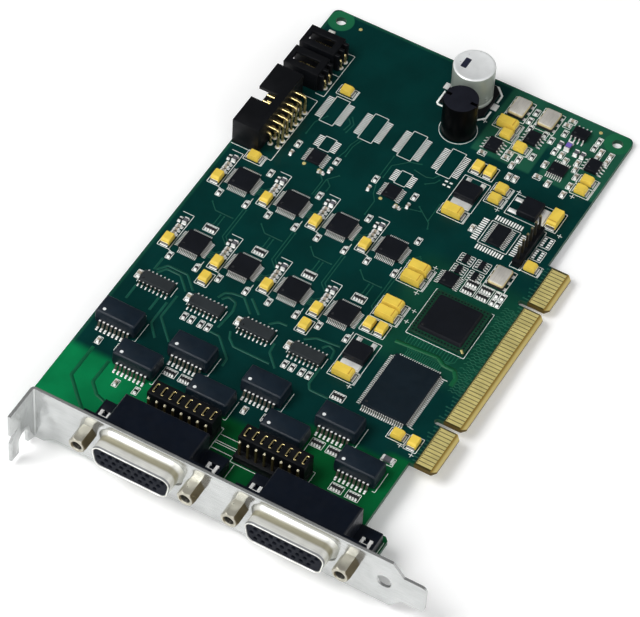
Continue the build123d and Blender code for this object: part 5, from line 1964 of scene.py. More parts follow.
@dataclass
class DsubConnector:
    """Right-angle D connector: drawn shell with a flared root, insert, contacts, housing and board locks.

    The lip is a depth behind the front and a growth of the D outline, and the flare is a depth in
    front of the flange and a growth.
    """

    letter: str
    width: float = 24.7
    height: float = 7.9
    corner: float = 2.5
    corner_steps: int = 8
    lean: float = 10.0
    wall: float = 0.45
    throat: float = 0.16
    lip: Line = ((0.04, -0.38), (0.0, -0.22), (0.06, -0.08), (0.25, 0.0))
    flare: Line = ((2.7, 0.0), (1.9, 0.09), (1.2, 0.3), (0.65, 0.6), (0.25, 0.95), (0.0, 1.25))
    plate_corner: float = 1.0
    row_pitch: float = 1.98
    insert_gap: float = 0.05
    insert_edge: float = 0.15
    cavity: float = 0.56
    cavity_depth: float = 4.5
    mouth: Line = ((-0.2, 0.84), (0.3, 0.56))
    tube: Flat = (0.45, 0.3)
    tube_start: float = 1.4
    tube_gap: float = 0.05
    bore_count: int = 12
    housing_edge: float = 0.3
    fork_edge: float = 0.08
    web: Flat = (2.9, 1.7)
    web_inset: float = 0.2
    web_drops: Flat = (0.38, 0.02)
    web_edge: float = 0.06

    def name(self, part: str) -> str:
        """Name of one of this connector's CAD nodes or pieces."""
        return f"dsub_{self.letter}_{part}"

    @property
    def axis(self) -> Flat:
        """Middle of the D along Y and Z."""
        return Box.of(self.name("contacts")).mid[1:]

    def ring(self, x: float, growth: float) -> list[Point]:
        """D outline with its wide side up, grown by an even margin.

        Args:
            x: Place along X.
            growth: Margin, negative to shrink.

        Returns:
            Points of the outline.
        """
        inset = self.height * math.tan(math.radians(self.lean))
        half, up = self.width / 2, self.height / 2
        corners = [Vector(c) for c in ((-half, up), (inset - half, -up), (half - inset, -up), (half, up))]
        reach = self.corner + growth
        points = []
        for before, corner, after in zip(corners[-1:] + corners, corners, corners[1:] + corners):
            arrive, leave = corner - before, after - corner
            first = Vector((arrive.y, -arrive.x)).normalized()
            second = Vector((leave.y, -leave.x)).normalized()
            pivot = corner - (first + second) * self.corner / (1 + first.dot(second)) + Vector(self.axis)
            start, sweep = math.atan2(first.y, first.x), first.angle(second)
            for step in range(self.corner_steps + 1):
                angle = start + sweep * step / self.corner_steps
                points.append((x, pivot.x + reach * math.cos(angle), pivot.y + reach * math.sin(angle)))
        return points

    def plate_ring(self, x: float) -> list[Point]:
        """Edge of the flange, with as many points as the D outline.

        Args:
            x: Place along X.

        Returns:
            Points of the edge, gathered near its corners.
        """
        (_, south, low), (_, north, high) = Box.of(self.name("shell")).lo, Box.of(self.name("shell")).hi
        corners = [Vector(c) for c in ((south, high), (south, low), (north, low), (north, high))]
        points = []
        for before, corner, after in zip(corners[-1:] + corners, corners, corners[1:] + corners):
            for step in range(self.corner_steps + 1):
                share = 2 * step / self.corner_steps - 1
                way = ((before if share < 0 else after) - corner).normalized()
                points.append((x, *(corner + way * abs(share) * self.plate_corner)))
        return points

    def shell(self) -> None:
        """Make the drawn shell with its flare and its flange."""
        node = self.name("shell")
        front, back = Box.of(node).lo[0], Box.of(node).hi[0]
        plate = back - self.wall
        rings = [self.ring(back, -self.wall), self.ring(front + self.throat, -self.wall)]
        rings.extend(self.ring(front + depth, growth) for depth, growth in self.lip)
        rings.extend(self.ring(plate - depth, growth) for depth, growth in self.flare)
        rings.extend((self.plate_ring(plate), self.plate_ring(back)))
        MeshMaker().loft(rings, wrap=True).fit(self.name("drawn_shell"), SHELL_TIN, nodes=(node,), smooth=35)

    def bores(self, profile: Line, wrap: bool = False) -> MeshMaker:
        """Draw a round shape along X at every cavity.

        Args:
            profile: Place along X and radius of each ring.
            wrap: Whether the shape is a tube.

        Returns:
            The maker that holds the shapes.
        """
        maker = MeshMaker()
        middle_y, middle_z = self.axis
        for row, count in enumerate(DSUB_ROWS):
            shift = DSUB_PITCH / 4 if row == 0 else -DSUB_PITCH / 4
            for column in range(count):
                along = (column - (count - 1) / 2) * DSUB_PITCH - shift
                centre = (middle_y + along, middle_z + (1 - row) * self.row_pitch)
                rings = []
                for x, radius in profile:
                    rings.append([(x, *place) for place in circle(centre, radius, self.bore_count)])
                maker.loft(rings, wrap=wrap)
        return maker

    def insert(self) -> None:
        """Make the insert with its cavities and the contact tubes in them."""
        node = self.name("insert")
        front, back = Box.of(node).lo[0], Box.of(node).hi[0]
        gap = -self.wall - self.insert_gap
        rings = [self.ring(front, gap - self.insert_edge), self.ring(front + self.insert_edge, gap)]
        block = MeshMaker().loft([*rings, self.ring(back, gap)])
        host = link(self.name("insert_host"), block.mesh(self.name("insert_host"), INSERT_NAVY))
        mouth = [(front + depth, radius) for depth, radius in self.mouth]
        drill = self.bores((*mouth, (front + self.cavity_depth, self.cavity)))
        cutter = link(self.name("drill"), drill.mesh(self.name("drill"), INSERT_NAVY))
        cut = host.modifiers.new("cavities", "BOOLEAN")
        cut.object = cutter
        cut.solver = "EXACT"
        name = self.name("socket_block")
        mesh = plain_mesh(host, name)
        bpy.data.objects.remove(cutter)
        fit(name, mesh, (node,))
        outer, inner = self.tube
        start, stop = front + self.tube_start, front + self.cavity_depth - self.tube_gap
        tubes = self.bores(((start, inner), (start, outer), (stop, outer), (stop, inner)), wrap=True)
        tubes.fit(self.name("sockets"), PIN_GOLD, nodes=(self.name("contacts"),))

    def build(self) -> None:
        """Make the whole connector."""
        self.shell()
        self.insert()
        locks = self.name("board_locks")
        soften(self.name("housing"), self.name("moulding"), CONNECTOR_BLACK, self.housing_edge)
        soften(locks, self.name("forks"), FORK_TIN, self.fork_edge)
        webs = MeshMaker()
        for box in solids(locks):
            start, top = box.lo[0] + self.web[0], box.hi[2]
            low = (start, box.lo[1] + self.web_inset, top - self.web_drops[0])
            high = (start + self.web[1], box.hi[1] - self.web_inset, top - self.web_drops[1])
            webs.block(Box(low, high), self.web_edge)
        webs.fit(self.name("fork_webs"), FORK_TIN)


@dataclass
class Jackscrews:
    """Four hexagon jackscrews with a turned end face and a threaded bore.

    The crown is a depth behind the front and the radius that the hexagon is turned down to.
    """

    across_flats: float = 4.75
    crown: Line = ((0.62, 4.75), (0.42, 2.56), (0.2, 2.4), (0.06, 2.24), (0.0, 2.12))
    bore: float = 1.42
    countersink: float = 0.3
    thread: float = 0.16
    thread_pitch: float = 0.64
    turns: int = 6
    segments: int = 48

    def hexagon(self, x: float, centre: Flat, limit: float) -> list[Point]:
        """Ring round a screw's axis that is cut to the hexagon.

        Args:
            x: Place along X.
            centre: Axis along Y and Z.
            limit: Largest radius.

        Returns:
            Points of the ring.
        """
        points = []
        for index in range(self.segments):
            angle = 2 * math.pi * index / self.segments
            flat = (angle % (math.pi / 3)) - math.pi / 6
            radius = min(limit, self.across_flats / 2 / math.cos(flat))
            points.append((x, centre[0] + radius * math.cos(angle), centre[1] + radius * math.sin(angle)))
        return points

    def build(self) -> None:
        """Make the four screws; the threaded bore and its bottom are painted dark as shade."""
        maker = MeshMaker()
        for box in solids("jackscrews"):
            centre, front = box.mid[1:], box.lo[0]
            rings = [self.hexagon(box.hi[0], centre, self.across_flats)]
            rings.extend(self.hexagon(front + depth, centre, limit) for depth, limit in self.crown)
            start = front + self.countersink
            profile = [(front, self.bore + self.countersink), (start, self.bore)]
            for turn in range(self.turns):
                crest = start + (turn + 0.5) * self.thread_pitch
                profile.append((crest, self.bore - self.thread))
                profile.append((crest + self.thread_pitch / 2, self.bore))
            for x, radius in profile:
                rings.append([(x, *place) for place in circle(centre, radius, self.segments)])
            # The bore and its bottom take the painted shade; the back face stays plain nickel.
            first = len(maker.faces) + (len(self.crown) + 2) * self.segments
            maker.loft(rings)
            maker.tints[first:] = [1] * (len(maker.tints) - first)
            maker.tints[-2] = 0
        maker.fit("jackscrew_set", SCREW_NICKEL, SCREW_BORE_SHADE, nodes=("jackscrews",), smooth=28)


@dataclass
class Headers:
    """Box header, locking headers, jumper headers and the service header."""

    pin: float = 0.64
    bend: float = 0.9
    tail: float = 2.6
    tip: float = 0.45
    tip_share: float = 0.45
    tip_corner: float = 0.05
    pin_corner: float = 0.06
    link_section: Flat = (0.22, 0.5)
    link_radius: float = 0.2
    link_bend: Line = ((1.4, -0.55), (1.55, -0.1), (1.3, 0.22), (-1.2, 0.22), (-1.5, -0.05), (-1.2, -0.4))
    guard_width: float = 1.0
    guard_reach: float = 1.5
    guard_root: float = 0.1
    guard_lift: float = 0.05
    guard_drop: float = 0.5
    guard_edge: float = 0.12
    box_edge: float = 0.16
    locking_edge: float = 0.14
    jumper_edge: float = 0.12
    service_edge: float = 0.14
    drops: list[Flat] = field(default_factory=list)

    def bent_pins(self, node: str, name: str) -> None:
        """Make the bent pins of a right-angle header along the CAD's own pins.

        Args:
            node: CAD node of the pins.
            name: Name of the new piece.
        """
        paths = Paths()
        half = self.pin / 2
        for box in solids(node):
            x = box.mid[0]
            tail_y, height = box.lo[1] + half, box.hi[2] - half
            paths.run([(x, box.hi[1], height), (x, tail_y, height), (x, tail_y, -self.tail)])
            self.drops.append((x, tail_y))
        paths.fit(name, (self.pin, self.pin), self.bend, PIN_GOLD, (node,), Sweep.BENT_PIN)

    def straight_pins(self, node: str, name: str, finish: Finish) -> None:
        """Make upright square pins with pointed tips where the CAD has its own.

        Args:
            node: CAD node of the pins.
            name: Name of the new piece.
            finish: Finish of the pins.
        """
        places = Scatter()
        top = max(box.hi[2] for box in solids(node))
        for box in solids(node):
            places.put(box.mid[0], box.mid[1], box.hi[2] - top)
            self.drops.append(box.mid[:2])
        point = self.pin * (1 - self.tip_share)
        shape = MeshMaker().tower(ORIGIN, (self.pin, self.pin), (
            (-self.tail, point, self.tip_corner), (self.tip - self.tail, 0, self.pin_corner),
            (top - self.tip, 0, self.pin_corner), (top, point, self.tip_corner),
        ), steps=1)
        places.fit(name, shape, finish, (node,))

    def links(self, letter: str) -> None:
        """Make the folded link contacts that show in a jumper block's slots.

        Args:
            letter: Letter of the block.
        """
        node = f"jumper_links_{letter}"
        paths = Paths()
        for box in solids(node):
            line = [(box.mid[0] + along, box.mid[1] + across) for along, across in self.link_bend]
            paths.draw(line, level=box.hi[2])
        paths.fit(f"jumper_contacts_{letter}", self.link_section, self.link_radius, PIN_GOLD, (node,))

    def guards(self, letter: str) -> None:
        """Make the ribs that stand behind a locking header, beside and between its pins.

        Args:
            letter: Letter of the header.
        """
        box = Box.of(f"locking_header_{letter}")
        half, top = self.guard_width / 2, box.hi[2] - self.guard_drop
        maker = MeshMaker()
        for step in (-1, 0, 1):
            x = box.mid[0] + step * HEADER_PITCH
            low = (x - half, box.lo[1] - self.guard_reach, self.guard_lift)
            maker.block(Box(low, (x + half, box.lo[1] + self.guard_root, top)), self.guard_edge)
        maker.fit(f"locking_guards_{letter}", HEADER_BLACK)

    def build(self) -> None:
        """Make every header."""
        soften("box_header_shroud", "box_header_moulding", HEADER_BLACK, self.box_edge)
        self.bent_pins("box_header_pins", "box_header_posts")
        for letter in "ab":
            node = f"locking_header_{letter}"
            soften(node, f"{node}_moulding", HEADER_BLACK, self.locking_edge)
            self.guards(letter)
        self.bent_pins("locking_header_pins", "locking_header_posts")
        for letter in "ab":
            soften(f"jumper_header_{letter}_base", f"jumper_foot_{letter}", HEADER_BLACK, self.jumper_edge)
            soften(f"jumper_block_{letter}", f"jumper_cap_{letter}", HEADER_BLACK, self.jumper_edge)
            self.straight_pins(f"jumper_header_{letter}_pins", f"jumper_posts_{letter}", POST_GOLD)
            self.links(letter)
        soften("service_header_base", "service_foot", HEADER_BLACK, self.service_edge)
        # The service posts' gold is darkened all over as painted shade.
        self.straight_pins("service_header_pins", "service_posts", POST_GOLD_SHADED)


@dataclass
class Bracket:
    """Folded slot bracket in bright nickel plate."""

    edge: float = 0.13

    def build(self) -> None:
        """Break the sheared edges of the folded sheet."""
        soften("bracket", "bracket_sheet", NICKEL, self.edge)


@dataclass(frozen=True)
class PadRows:
    """Bare footprints with two rows of pads, and the frame that the legend draws between the rows."""

    places: Line
    pad: Flat
    count: int
    pitch: float
    reach: float
    frame: Flat
    frame_shift: float = 0.0


@dataclass
class BarePads:
    """Tinned footprints that carry no part, test pads and gold spots."""

    pad_height: float = 0.05
    pad_edge: float = 0.02
    wide: PadRows = PadRows(((82.8, 78.8), (82.8, 66.1), (82.8, 53.4), (82.8, 40.8)), pad=(1.8, 0.3),
                            count=14, pitch=0.635, reach=3.35, frame=(10.7, 4.4), frame_shift=-0.05)
    small: PadRows = PadRows(((70.65, 74.35), (70.65, 49.6)), pad=(1.6, 0.34), count=7, pitch=FINE_PITCH,
                             reach=2.75, frame=(5.2, 3.5))
    ring_box: Box = Box((61.3, 11.8, 0.0), (70.4, 20.8, 0.0))
    ring_pads: int = 11
    ring_pitch: float = 0.8
    ring_reach: float = 6.1
    ring_pad: Flat = (1.8, 0.45)
    square_pad: Flat = (0.6, 0.9)
    four_pads: Flat = (75.5, 38.0)
    four_pads_half: float = 0.75
    eight_pads: Line = ((65.7, 4.0), (71.0, 4.0))
    eight_pads_columns: int = 4
    eight_pads_pitch: Flat = (0.9, 1.8)
    eight_pads_frame: Flat = (4.2, 3.4)
    spot_profile: Line = ((0.55, 0.0), (0.55, 0.03), (0.5, 0.05))
    spots: Line = ((114.5, 88.1), (115.7, 9.8), (60.9, 76.4), (60.9, 71.5), (60.9, 51.6), (60.9, 46.7))
    frames: list[Box] = field(default_factory=list)

    def pad(self, size: Flat) -> MeshMaker:
        """Draw one flat pad, with its length along X."""
        return MeshMaker().block(Box.around(ORIGIN, size, 0.0, self.pad_height), self.pad_edge)

    def rows(self, name: str, rows: PadRows) -> None:
        """Make footprints that have two rows of pads, and keep their frames.

        Args:
            name: Name of the piece.
            rows: The footprints.
        """
        pads = Scatter()
        for x, y in rows.places:
            for side in UPRIGHT:
                pads.row((x, y), side, rows.reach, rows.count, rows.pitch)
            self.frames.append(Box.around((x + rows.frame_shift, y), rows.frame))
        pads.fit(name, self.pad(rows.pad), PAD_TIN)

    def squares(self) -> Scatter:
        """Lay out the test pads: one group of four and two framed groups of eight.

        Returns:
            The places of the pads.
        """
        pads = Scatter()
        x, y = self.four_pads
        for way_x in (-1, 1):
            for way_y in (-1, 1):
                pads.put(x + way_x * self.four_pads_half, y + way_y * self.four_pads_half)
        pitch_x, pitch_y = self.eight_pads_pitch
        for x, y in self.eight_pads:
            for column in range(self.eight_pads_columns):
                across = x + (column - (self.eight_pads_columns - 1) / 2) * pitch_x
                pads.put(across, y - pitch_y / 2)
                pads.put(across, y + pitch_y / 2)
            self.frames.append(Box.around((x, y), self.eight_pads_frame))
        return pads

    def build(self) -> None:
        """Make every bare footprint."""
        ring, spots = Scatter(), Scatter()
        for side in Side:
            ring.row(self.ring_box.mid, side, self.ring_reach, self.ring_pads, self.ring_pitch)
        self.frames.append(self.ring_box)
        for x, y in self.spots:
            spots.put(x, y)
        self.rows("footprint_pads_wide", self.wide)
        self.rows("footprint_pads_small", self.small)
        ring.fit("footprint_pads_ring", self.pad(self.ring_pad), PAD_TIN)
        self.squares().fit("footprint_pads_square", self.pad(self.square_pad), PAD_TIN)
        spots.fit("gold_spots", MeshMaker().lathe(ORIGIN, self.spot_profile, count=16), GOLD)


@dataclass(frozen=True)
class Bundle:
    """Traces that run side by side: the line of the first one, their number and their pitch."""

    points: Line
    count: int = 1
    pitch: float = 0.0


@dataclass
class Copper:
    """Traces under the mask, vias and the necks above the edge contacts.

    The near, far and shared runs are counted from the middle of a receiver chip. A field whose name ends
    in range holds the limits of a random draw.
    """

    width: float = 0.3
    thick: float = 0.016
    bend: float = 0.4
    broad_width: float = 0.75
    broad_bend: float = 1.0
    gap_width: float = 1.0
    bus_section: Flat = (1.4, 0.0224)
    bus_bend: float = 0.6
    via_profile: Line = ((0.3, 0.0), (0.3, 0.05), (0.15, 0.06), (0.135, 0.03))
    via_count: int = 8
    near_runs: tuple[Bundle, ...] = (Bundle(((13.0, -0.6), (9.4, -0.6), (7.6, 0.6)), 2, 1.2),)
    far_runs: tuple[Bundle, ...] = (
        Bundle(((-10.8, 3.9), (-13.2, 1.5), (-13.2, -4.0))),
        Bundle(((-8.8, -5.0), (-20.4, -5.0), (-22.5, -7.2)), 2, 0.9),
    )
    shared_run: Bundle = Bundle(((-1.8, -5.1), (-1.8, -7.0), (0.6, -9.4)), 4, 0.7)
    memory_lines: int = 17
    memory_pitch: Flat = (FINE_PITCH, 0.95)
    memory_gaps: Flat = (1.5, 0.9)
    memory_straight: float = 2.2
    waves: int = 36
    wave_start: float = 11.0
    wave_pitch: float = 0.95
    wave_swing: float = 0.28
    wave_step: float = 0.75
    wave_top_range: Flat = (2.2, 3.8)
    wave_count_range: tuple[int, int] = (4, 8)
    neck_lap: float = 0.1
    neck_rise: float = 1.0
    neck_step: float = 0.5
    neck_lengths: int = 3
    lanes: int = 16
    lane_start: float = -34.0
    lane_pitch: float = 9.2
    lane_low_range: Flat = (14.0, 30.0)
    lane_top_range: Flat = (62.0, 88.0)
    lane_middle_range: Flat = (38.0, 52.0)
    lane_jogs: Flat = (-4.0, 4.0)
    lane_count_range: tuple[int, int] = (3, 7)
    lane_trace_pitch: float = 0.75
    seed: int = 16
    broad_runs: tuple[Line, ...] = (
        ((-2.0, 93.6), (-7.4, 93.6)), ((-2.6, 86.0), (-7.6, 86.0)),
        ((0.6, 82.0), (-8.0, 82.0), (-14.4, 75.6)), ((-2.8, 83.2), (-11.2, 83.2), (-15.2, 79.6)),
        ((4.8, 91.0), (7.4, 89.4), (7.4, 85.0), (3.2, 80.8)),
        ((5.6, 91.8), (8.6, 89.6), (8.6, 83.4), (4.4, 79.2)),
        ((10.2, 92.3), (5.4, 92.3)), ((6.0, 72.2), (8.4, 71.4), (9.4, 69.4), (9.8, 66.4)),
        ((6.0, 71.0), (7.8, 69.8), (7.0, 67.0), (4.0, 66.2), (-3.0, 66.8)),
        ((-5.4, 68.2), (-5.4, 65.0), (-11.2, 59.2), (-14.0, 59.0)),
        ((-2.4, 63.2), (-4.6, 62.2), (-6.6, 59.8), (-6.6, 48.6)), ((0.2, 50.8), (-3.2, 50.4), (-7.2, 46.4)),
        ((9.8, 66.0), (5.6, 61.6)), ((10.6, 64.0), (6.6, 59.4)), ((5.2, 55.6), (7.2, 53.6), (7.4, 51.0)),
        ((5.6, 39.0), (7.6, 37.8), (6.6, 35.6), (3.4, 35.0)), ((5.6, 44.8), (7.8, 42.0), (8.6, 35.0)),
        ((-0.4, 36.0), (-6.8, 36.0), (-8.6, 34.8), (-8.6, 29.0)),
    )
    signal_runs: tuple[Line, ...] = (
        ((78.0, 73.0), (80.7, 72.5), (82.1, 73.6), (82.3, 74.9)), ((77.4, 72.0), (81.0, 71.5), (83.2, 73.2)),
        ((77.1, 67.6), (74.0, 68.6), (71.0, 68.6), (68.4, 69.2)), ((76.8, 66.8), (73.6, 67.7), (69.4, 67.7)),
        ((76.6, 55.9), (67.2, 55.9), (61.5, 54.2), (59.1, 52.5), (53.5, 52.5)),
        ((78.1, 47.8), (77.1, 51.0), (73.3, 54.8), (68.1, 54.8)),
        ((75.2, 48.4), (74.6, 44.4), (75.3, 42.5), (76.9, 41.6)),
        ((72.2, 43.4), (74.1, 41.2), (75.5, 40.6)), ((60.6, 71.2), (58.1, 68.8), (52.3, 68.8)),
        ((62.0, 65.6), (59.0, 68.0), (52.3, 68.0)), ((58.8, 67.5), (57.3, 65.9), (55.3, 65.9)),
        ((60.7, 45.9), (61.8, 42.5), (62.6, 39.6)), ((63.9, 40.7), (60.1, 35.7), (58.0, 34.9)),
        ((67.7, 36.2), (60.8, 36.2)), ((79.9, 79.6), (76.1, 81.6), (71.1, 81.6)),
    )
    gap_runs: tuple[Line, ...] = (
        ((-26.4, 92.2), (-37.8, 92.2), (-42.8, 87.2), (-46.2, 83.6)),
        ((-28.6, 86.0), (-36.8, 86.0), (-40.0, 82.8), (-41.0, 79.8)),
    )
    bus_run: Line = ((18.4, 23.2), (19.3, 10.4), (17.7, 8.0), (17.6, 4.4), (15.4, 2.8), (12.4, 2.8))
    fine: Paths = field(default_factory=Paths)
    vias: dict[Face, Scatter] = field(default_factory=lambda: {face: Scatter() for face in Face})

    def lay(self, bundle: Bundle, face: Face = Face.COMPONENT, start: Sequence[float] = ORIGIN) -> None:
        """Add some traces that run side by side, with a via at each end.

        Args:
            bundle: The traces.
            face: Face of the board.
            start: Place that the traces are drawn from.
        """
        points = [(start[0] + x, start[1] + y) for x, y in bundle.points]
        for index in range(bundle.count):
            line = beside(points, index * bundle.pitch)
            self.fine.draw(line, level=face.value + face.outward * self.thick / 2)
            for x, y in (line[0], line[-1]):
                self.vias[face].put(x, y, face.value)

    def signals(self) -> None:
        """Add the runs between the sub-circuits and beside the receivers."""
        for number in CHANNELS:
            runs = self.near_runs if number in NEAR_CHANNELS else self.far_runs
            for run in (*runs, self.shared_run):
                self.lay(run, start=Box.of(f"receiver_chip_{number}").mid)
        for line in self.signal_runs:
            self.lay(Bundle(line))
        memory, logic = Box.of("memory_chip"), Box.of("logic_chip")
        west, east = memory.hi[0] + self.memory_gaps[0], logic.lo[0] - self.memory_gaps[1]
        turn = west + self.memory_straight
        for index in range(self.memory_lines):
            step = index - (self.memory_lines - 1) / 2
            start = memory.mid[1] + step * self.memory_pitch[0]
            stop = logic.mid[1] + step * self.memory_pitch[1]
            self.lay(Bundle(((west, start), (turn, start), (turn + abs(stop - start), stop), (east, stop))))

    def meanders(self) -> None:
        """Add the wavy length-matched runs between the logic chip and the edge contacts."""
        draw = random.Random(self.seed)
        for index in range(self.waves):
            x = self.wave_start + index * self.wave_pitch
            high = draw.uniform(*self.wave_top_range)
            count = draw.randrange(*self.wave_count_range)
            swings = [self.wave_swing * (1 if step % 2 else -1) for step in range(count)]
            points = [(x + swing, high - step * self.wave_step) for step, swing in enumerate((*swings, 0.0))]
            self.fine.draw(points, level=self.thick / 2)

    def necks(self) -> None:
        """Add a short neck above each edge contact."""
        for face in Face:
            for number, box in enumerate(solids(f"edge_contacts_{face.name.lower()}_side")):
                x, top = box.mid[0], box.hi[1]
                stop = top + self.neck_rise + self.neck_step * (number % self.neck_lengths)
                self.lay(Bundle(((x, top - self.neck_lap), (x, stop))), face)

    def solder_side(self) -> None:
        """Add the long parallel runs on the back of the board."""
        draw = random.Random(self.seed + 1)
        for index in range(self.lanes):
            x = self.lane_start + self.lane_pitch * index
            low = draw.uniform(*self.lane_low_range)
            top = draw.uniform(*self.lane_top_range)
            jog = draw.choice(self.lane_jogs)
            middle = draw.uniform(*self.lane_middle_range)
            line = ((x, low), (x, middle), (x + jog, middle + abs(jog)), (x + jog, top))
            count = draw.randrange(*self.lane_count_range)
            self.lay(Bundle(line, count, self.lane_trace_pitch), Face.SOLDER)

    def build(self) -> None:
        """Make the traces, the clearance lines and the vias of both faces."""
        self.signals()
        self.meanders()
        self.necks()
        self.solder_side()
        self.fine.fit("copper_traces", (self.width, self.thick), self.bend, TRACE_MASK)
        level, broad, gap = self.thick / 2, (self.broad_width, self.thick), (self.gap_width, self.thick)
        Paths(level, *self.broad_runs).fit("copper_runs", broad, self.broad_bend, TRACE_MASK)
        Paths(level, *self.gap_runs).fit("copper_clearances", gap, self.broad_bend, GAP_MASK)
        Paths(level, self.bus_run).fit("copper_bus", self.bus_section, self.bus_bend, BUS_MASK)
        for face in Face:
            profile = [(radius, height * face.outward) for radius, height in self.via_profile]
            via = MeshMaker().lathe(ORIGIN, profile, self.via_count)
            self.vias[face].fit(f"vias_{face.name.lower()}", via, TRACE_MASK)


@dataclass
class Legend:
    """White print on the component side: outlines, bars and polarity crosses.

    The receivers' marks are counted from the middle of a chip, and the other marks from a part's sides.
    """

    width: float = 0.17
    thick: float = 0.03
    bend: float = 0.15
    bold: float = 0.6
    arm: float = 0.75
    crosses: Line = ((46.7, 26.2), (36.1, 26.4), (30.1, 23.8), (25.8, 23.8), (102.1, 40.3), (83.5, 19.3),
                     (74.4, 21.6), (89.9, 5.8), (75.1, 2.1), (-2.1, 26.2), (-12.3, 4.8), (-13.6, 0.7))
    tantalum_side: float = 0.5
    tantalum_end: float = 0.9
    upright_ends: Flat = (1.2, 1.0)
    can_margin: float = 0.7
    can_stops: Flat = (1.9, 3.4)
    can_cuts: Flat = (2.4, 0.6)
    choke_margin: float = 0.45
    choke_count: int = 40
    receiver_marks: tuple[Line, ...] = (
        ((-5.3, 4.6), (-5.3, 5.4), (8.8, 5.4), (8.8, 9.0)), ((-5.3, -4.4), (-5.3, -5.3), (-3.9, -5.3)),
    )
    transformer_drop: float = 0.45
    transformer_ends: Flat = (0.4, 0.2)
    transformer_rise: float = 0.9
    driver_gap: float = 0.5
    memory_inset: float = 0.4
    memory_tick: Flat = (1.1, 2.2)
    small_margin: Flat = (0.4, 1.35)
    small_limit: float = 2.0
    regulator_reach: float = 7.0
    regulator_margin: float = 0.8
    outlines: tuple[tuple[str, float], ...] = (
        ("logic_chip", 0.5), ("oscillators", 0.75), ("jumper_header_a_base", 0.5),
        ("jumper_header_b_base", 0.5), ("service_header_base", 0.45),
    )
    box_header_gap: float = 0.6
    box_header_ends: Flat = (0.4, 0.8)
    locking_gap: float = 1.1
    locking_ends: Flat = (0.5, 0.9)
    dsub_ticks: tuple[Line, ...] = (
        ((-47.3, 39.3), (-40.9, 39.3)), ((-38.0, 47.8), (-32.9, 47.8)), ((-47.0, -7.1), (-42.4, -7.1)),
        ((-34.0, 47.6), (-34.0, 41.2)), ((-36.3, 47.6), (-36.3, 41.2)), ((-37.0, 47.6), (-37.0, 41.2)),
        ((-39.0, 47.6), (-39.0, 41.2)),
    )

    def __post_init__(self) -> None:
        """Start with no lines of either width."""
        self.thin, self.bars = Paths(self.thick / 2), Paths(self.thick / 2)

    def capacitors(self) -> None:
        """Add the marks of the capacitors, the choke's ring and the polarity crosses."""
        side, end = self.tantalum_side, self.tantalum_end
        for node in Tantalums.nodes:
            for box in solids(node):
                outline = box.outline(end, side)
                if box.runs_along_y:
                    low, high = box.lo[1] - self.upright_ends[0], box.hi[1] + self.upright_ends[1]
                    outline = Box((box.lo[0], low, 0.0), (box.hi[0], high, 0.0)).outline(side, 0.0)
                    self.bars.draw(outline[:2])
                self.thin.draw(outline, True)
        can = Box.of("capacitor_base")
        (x, y, _), reach = can.mid, can.size[0] / 2 + self.can_margin
        stop_x, stop_y = self.can_stops
        for way_y, cut in zip((-1, 1), self.can_cuts):
            corner = ((stop_x, reach), (reach - cut, reach), (reach, reach - cut), (reach, stop_y))
            for way_x in (-1, 1):
                self.bars.draw([(x + way_x * across, y + way_y * up) for across, up in corner])
        for x, y in self.crosses:
            self.thin.draw([(x - self.arm, y), (x + self.arm, y)])
            self.thin.draw([(x, y - self.arm), (x, y + self.arm)])
        choke = Box.of("choke")
        self.thin.draw(circle(choke.mid, choke.size[0] / 2 + self.choke_margin, self.choke_count), True)

    def channels(self) -> None:
        """Add the marks beside the receivers, transformers and drivers."""
        for number in CHANNELS:
            x, y, _ = Box.of(f"receiver_chip_{number}").mid
            for mark in self.receiver_marks:
                self.thin.draw([(x + across, y + up) for across, up in mark])
            box = Box.of(f"transformer_{number}")
            west, east = box.lo[0] - self.transformer_ends[0], box.hi[0] + self.transformer_ends[1]
            edge = box.lo[1] - self.transformer_drop
            self.thin.draw([(east, edge), (west, edge), (west, edge + self.transformer_rise)])
        for box in solids("driver_chips"):
            for edge in (box.lo[1] - self.driver_gap, box.hi[1] + self.driver_gap):
                self.thin.draw([(box.lo[0], edge), (box.hi[0], edge)])

    def chips(self) -> None:
        """Add the marks of the memory, the small chips and the regulators."""
        memory = Box.of("memory_chip")
        for x in (memory.lo[0] + self.memory_inset, memory.hi[0] - self.memory_inset):
            self.thin.draw([(x, memory.lo[1] - drop) for drop in self.memory_tick])
        for box in solids("small_chips"):
            if box.size[1] < self.small_limit:
                self.thin.draw(box.outline(*self.small_margin), True)
        for body in solids("regulator_bodies"):
            tabs = solids("regulator_tabs")
            near = [box for box in tabs if math.dist(box.mid[:2], body.mid[:2]) < self.regulator_reach]
            low = tuple(min(values) for values in zip(*(box.lo for box in (body, *near))))
            high = tuple(max(values) for values in zip(*(box.hi for box in (body, *near))))
            self.thin.draw(Box(low, high).outline(self.regulator_margin), True)

    def headers(self) -> None:
        """Add the lines behind the right-angle headers and beside the connectors."""
        box = Box.of("box_header_shroud")
        west, east = box.lo[0] - self.box_header_ends[0], box.hi[0] + self.box_header_ends[1]
        low = Box.of("box_header_pins").lo[1] - self.box_header_gap
        self.thin.draw([(west, box.hi[1]), (west, low), (east, low), (east, box.hi[1])])
        first, second = Box.of("locking_header_a"), Box.of("locking_header_b")
        west, east = first.lo[0] - self.locking_ends[0], second.hi[0] + self.locking_ends[1]
        low = Box.of("locking_header_pins").lo[1] - self.locking_gap
        self.thin.draw([(west, first.lo[1]), (west, low), (east, low), (east, second.hi[1])])
        middle = (first.hi[0] + second.lo[0]) / 2
        self.thin.draw([(middle, low), (middle, first.lo[1])])
        for line in self.dsub_ticks:
            self.thin.draw(line)

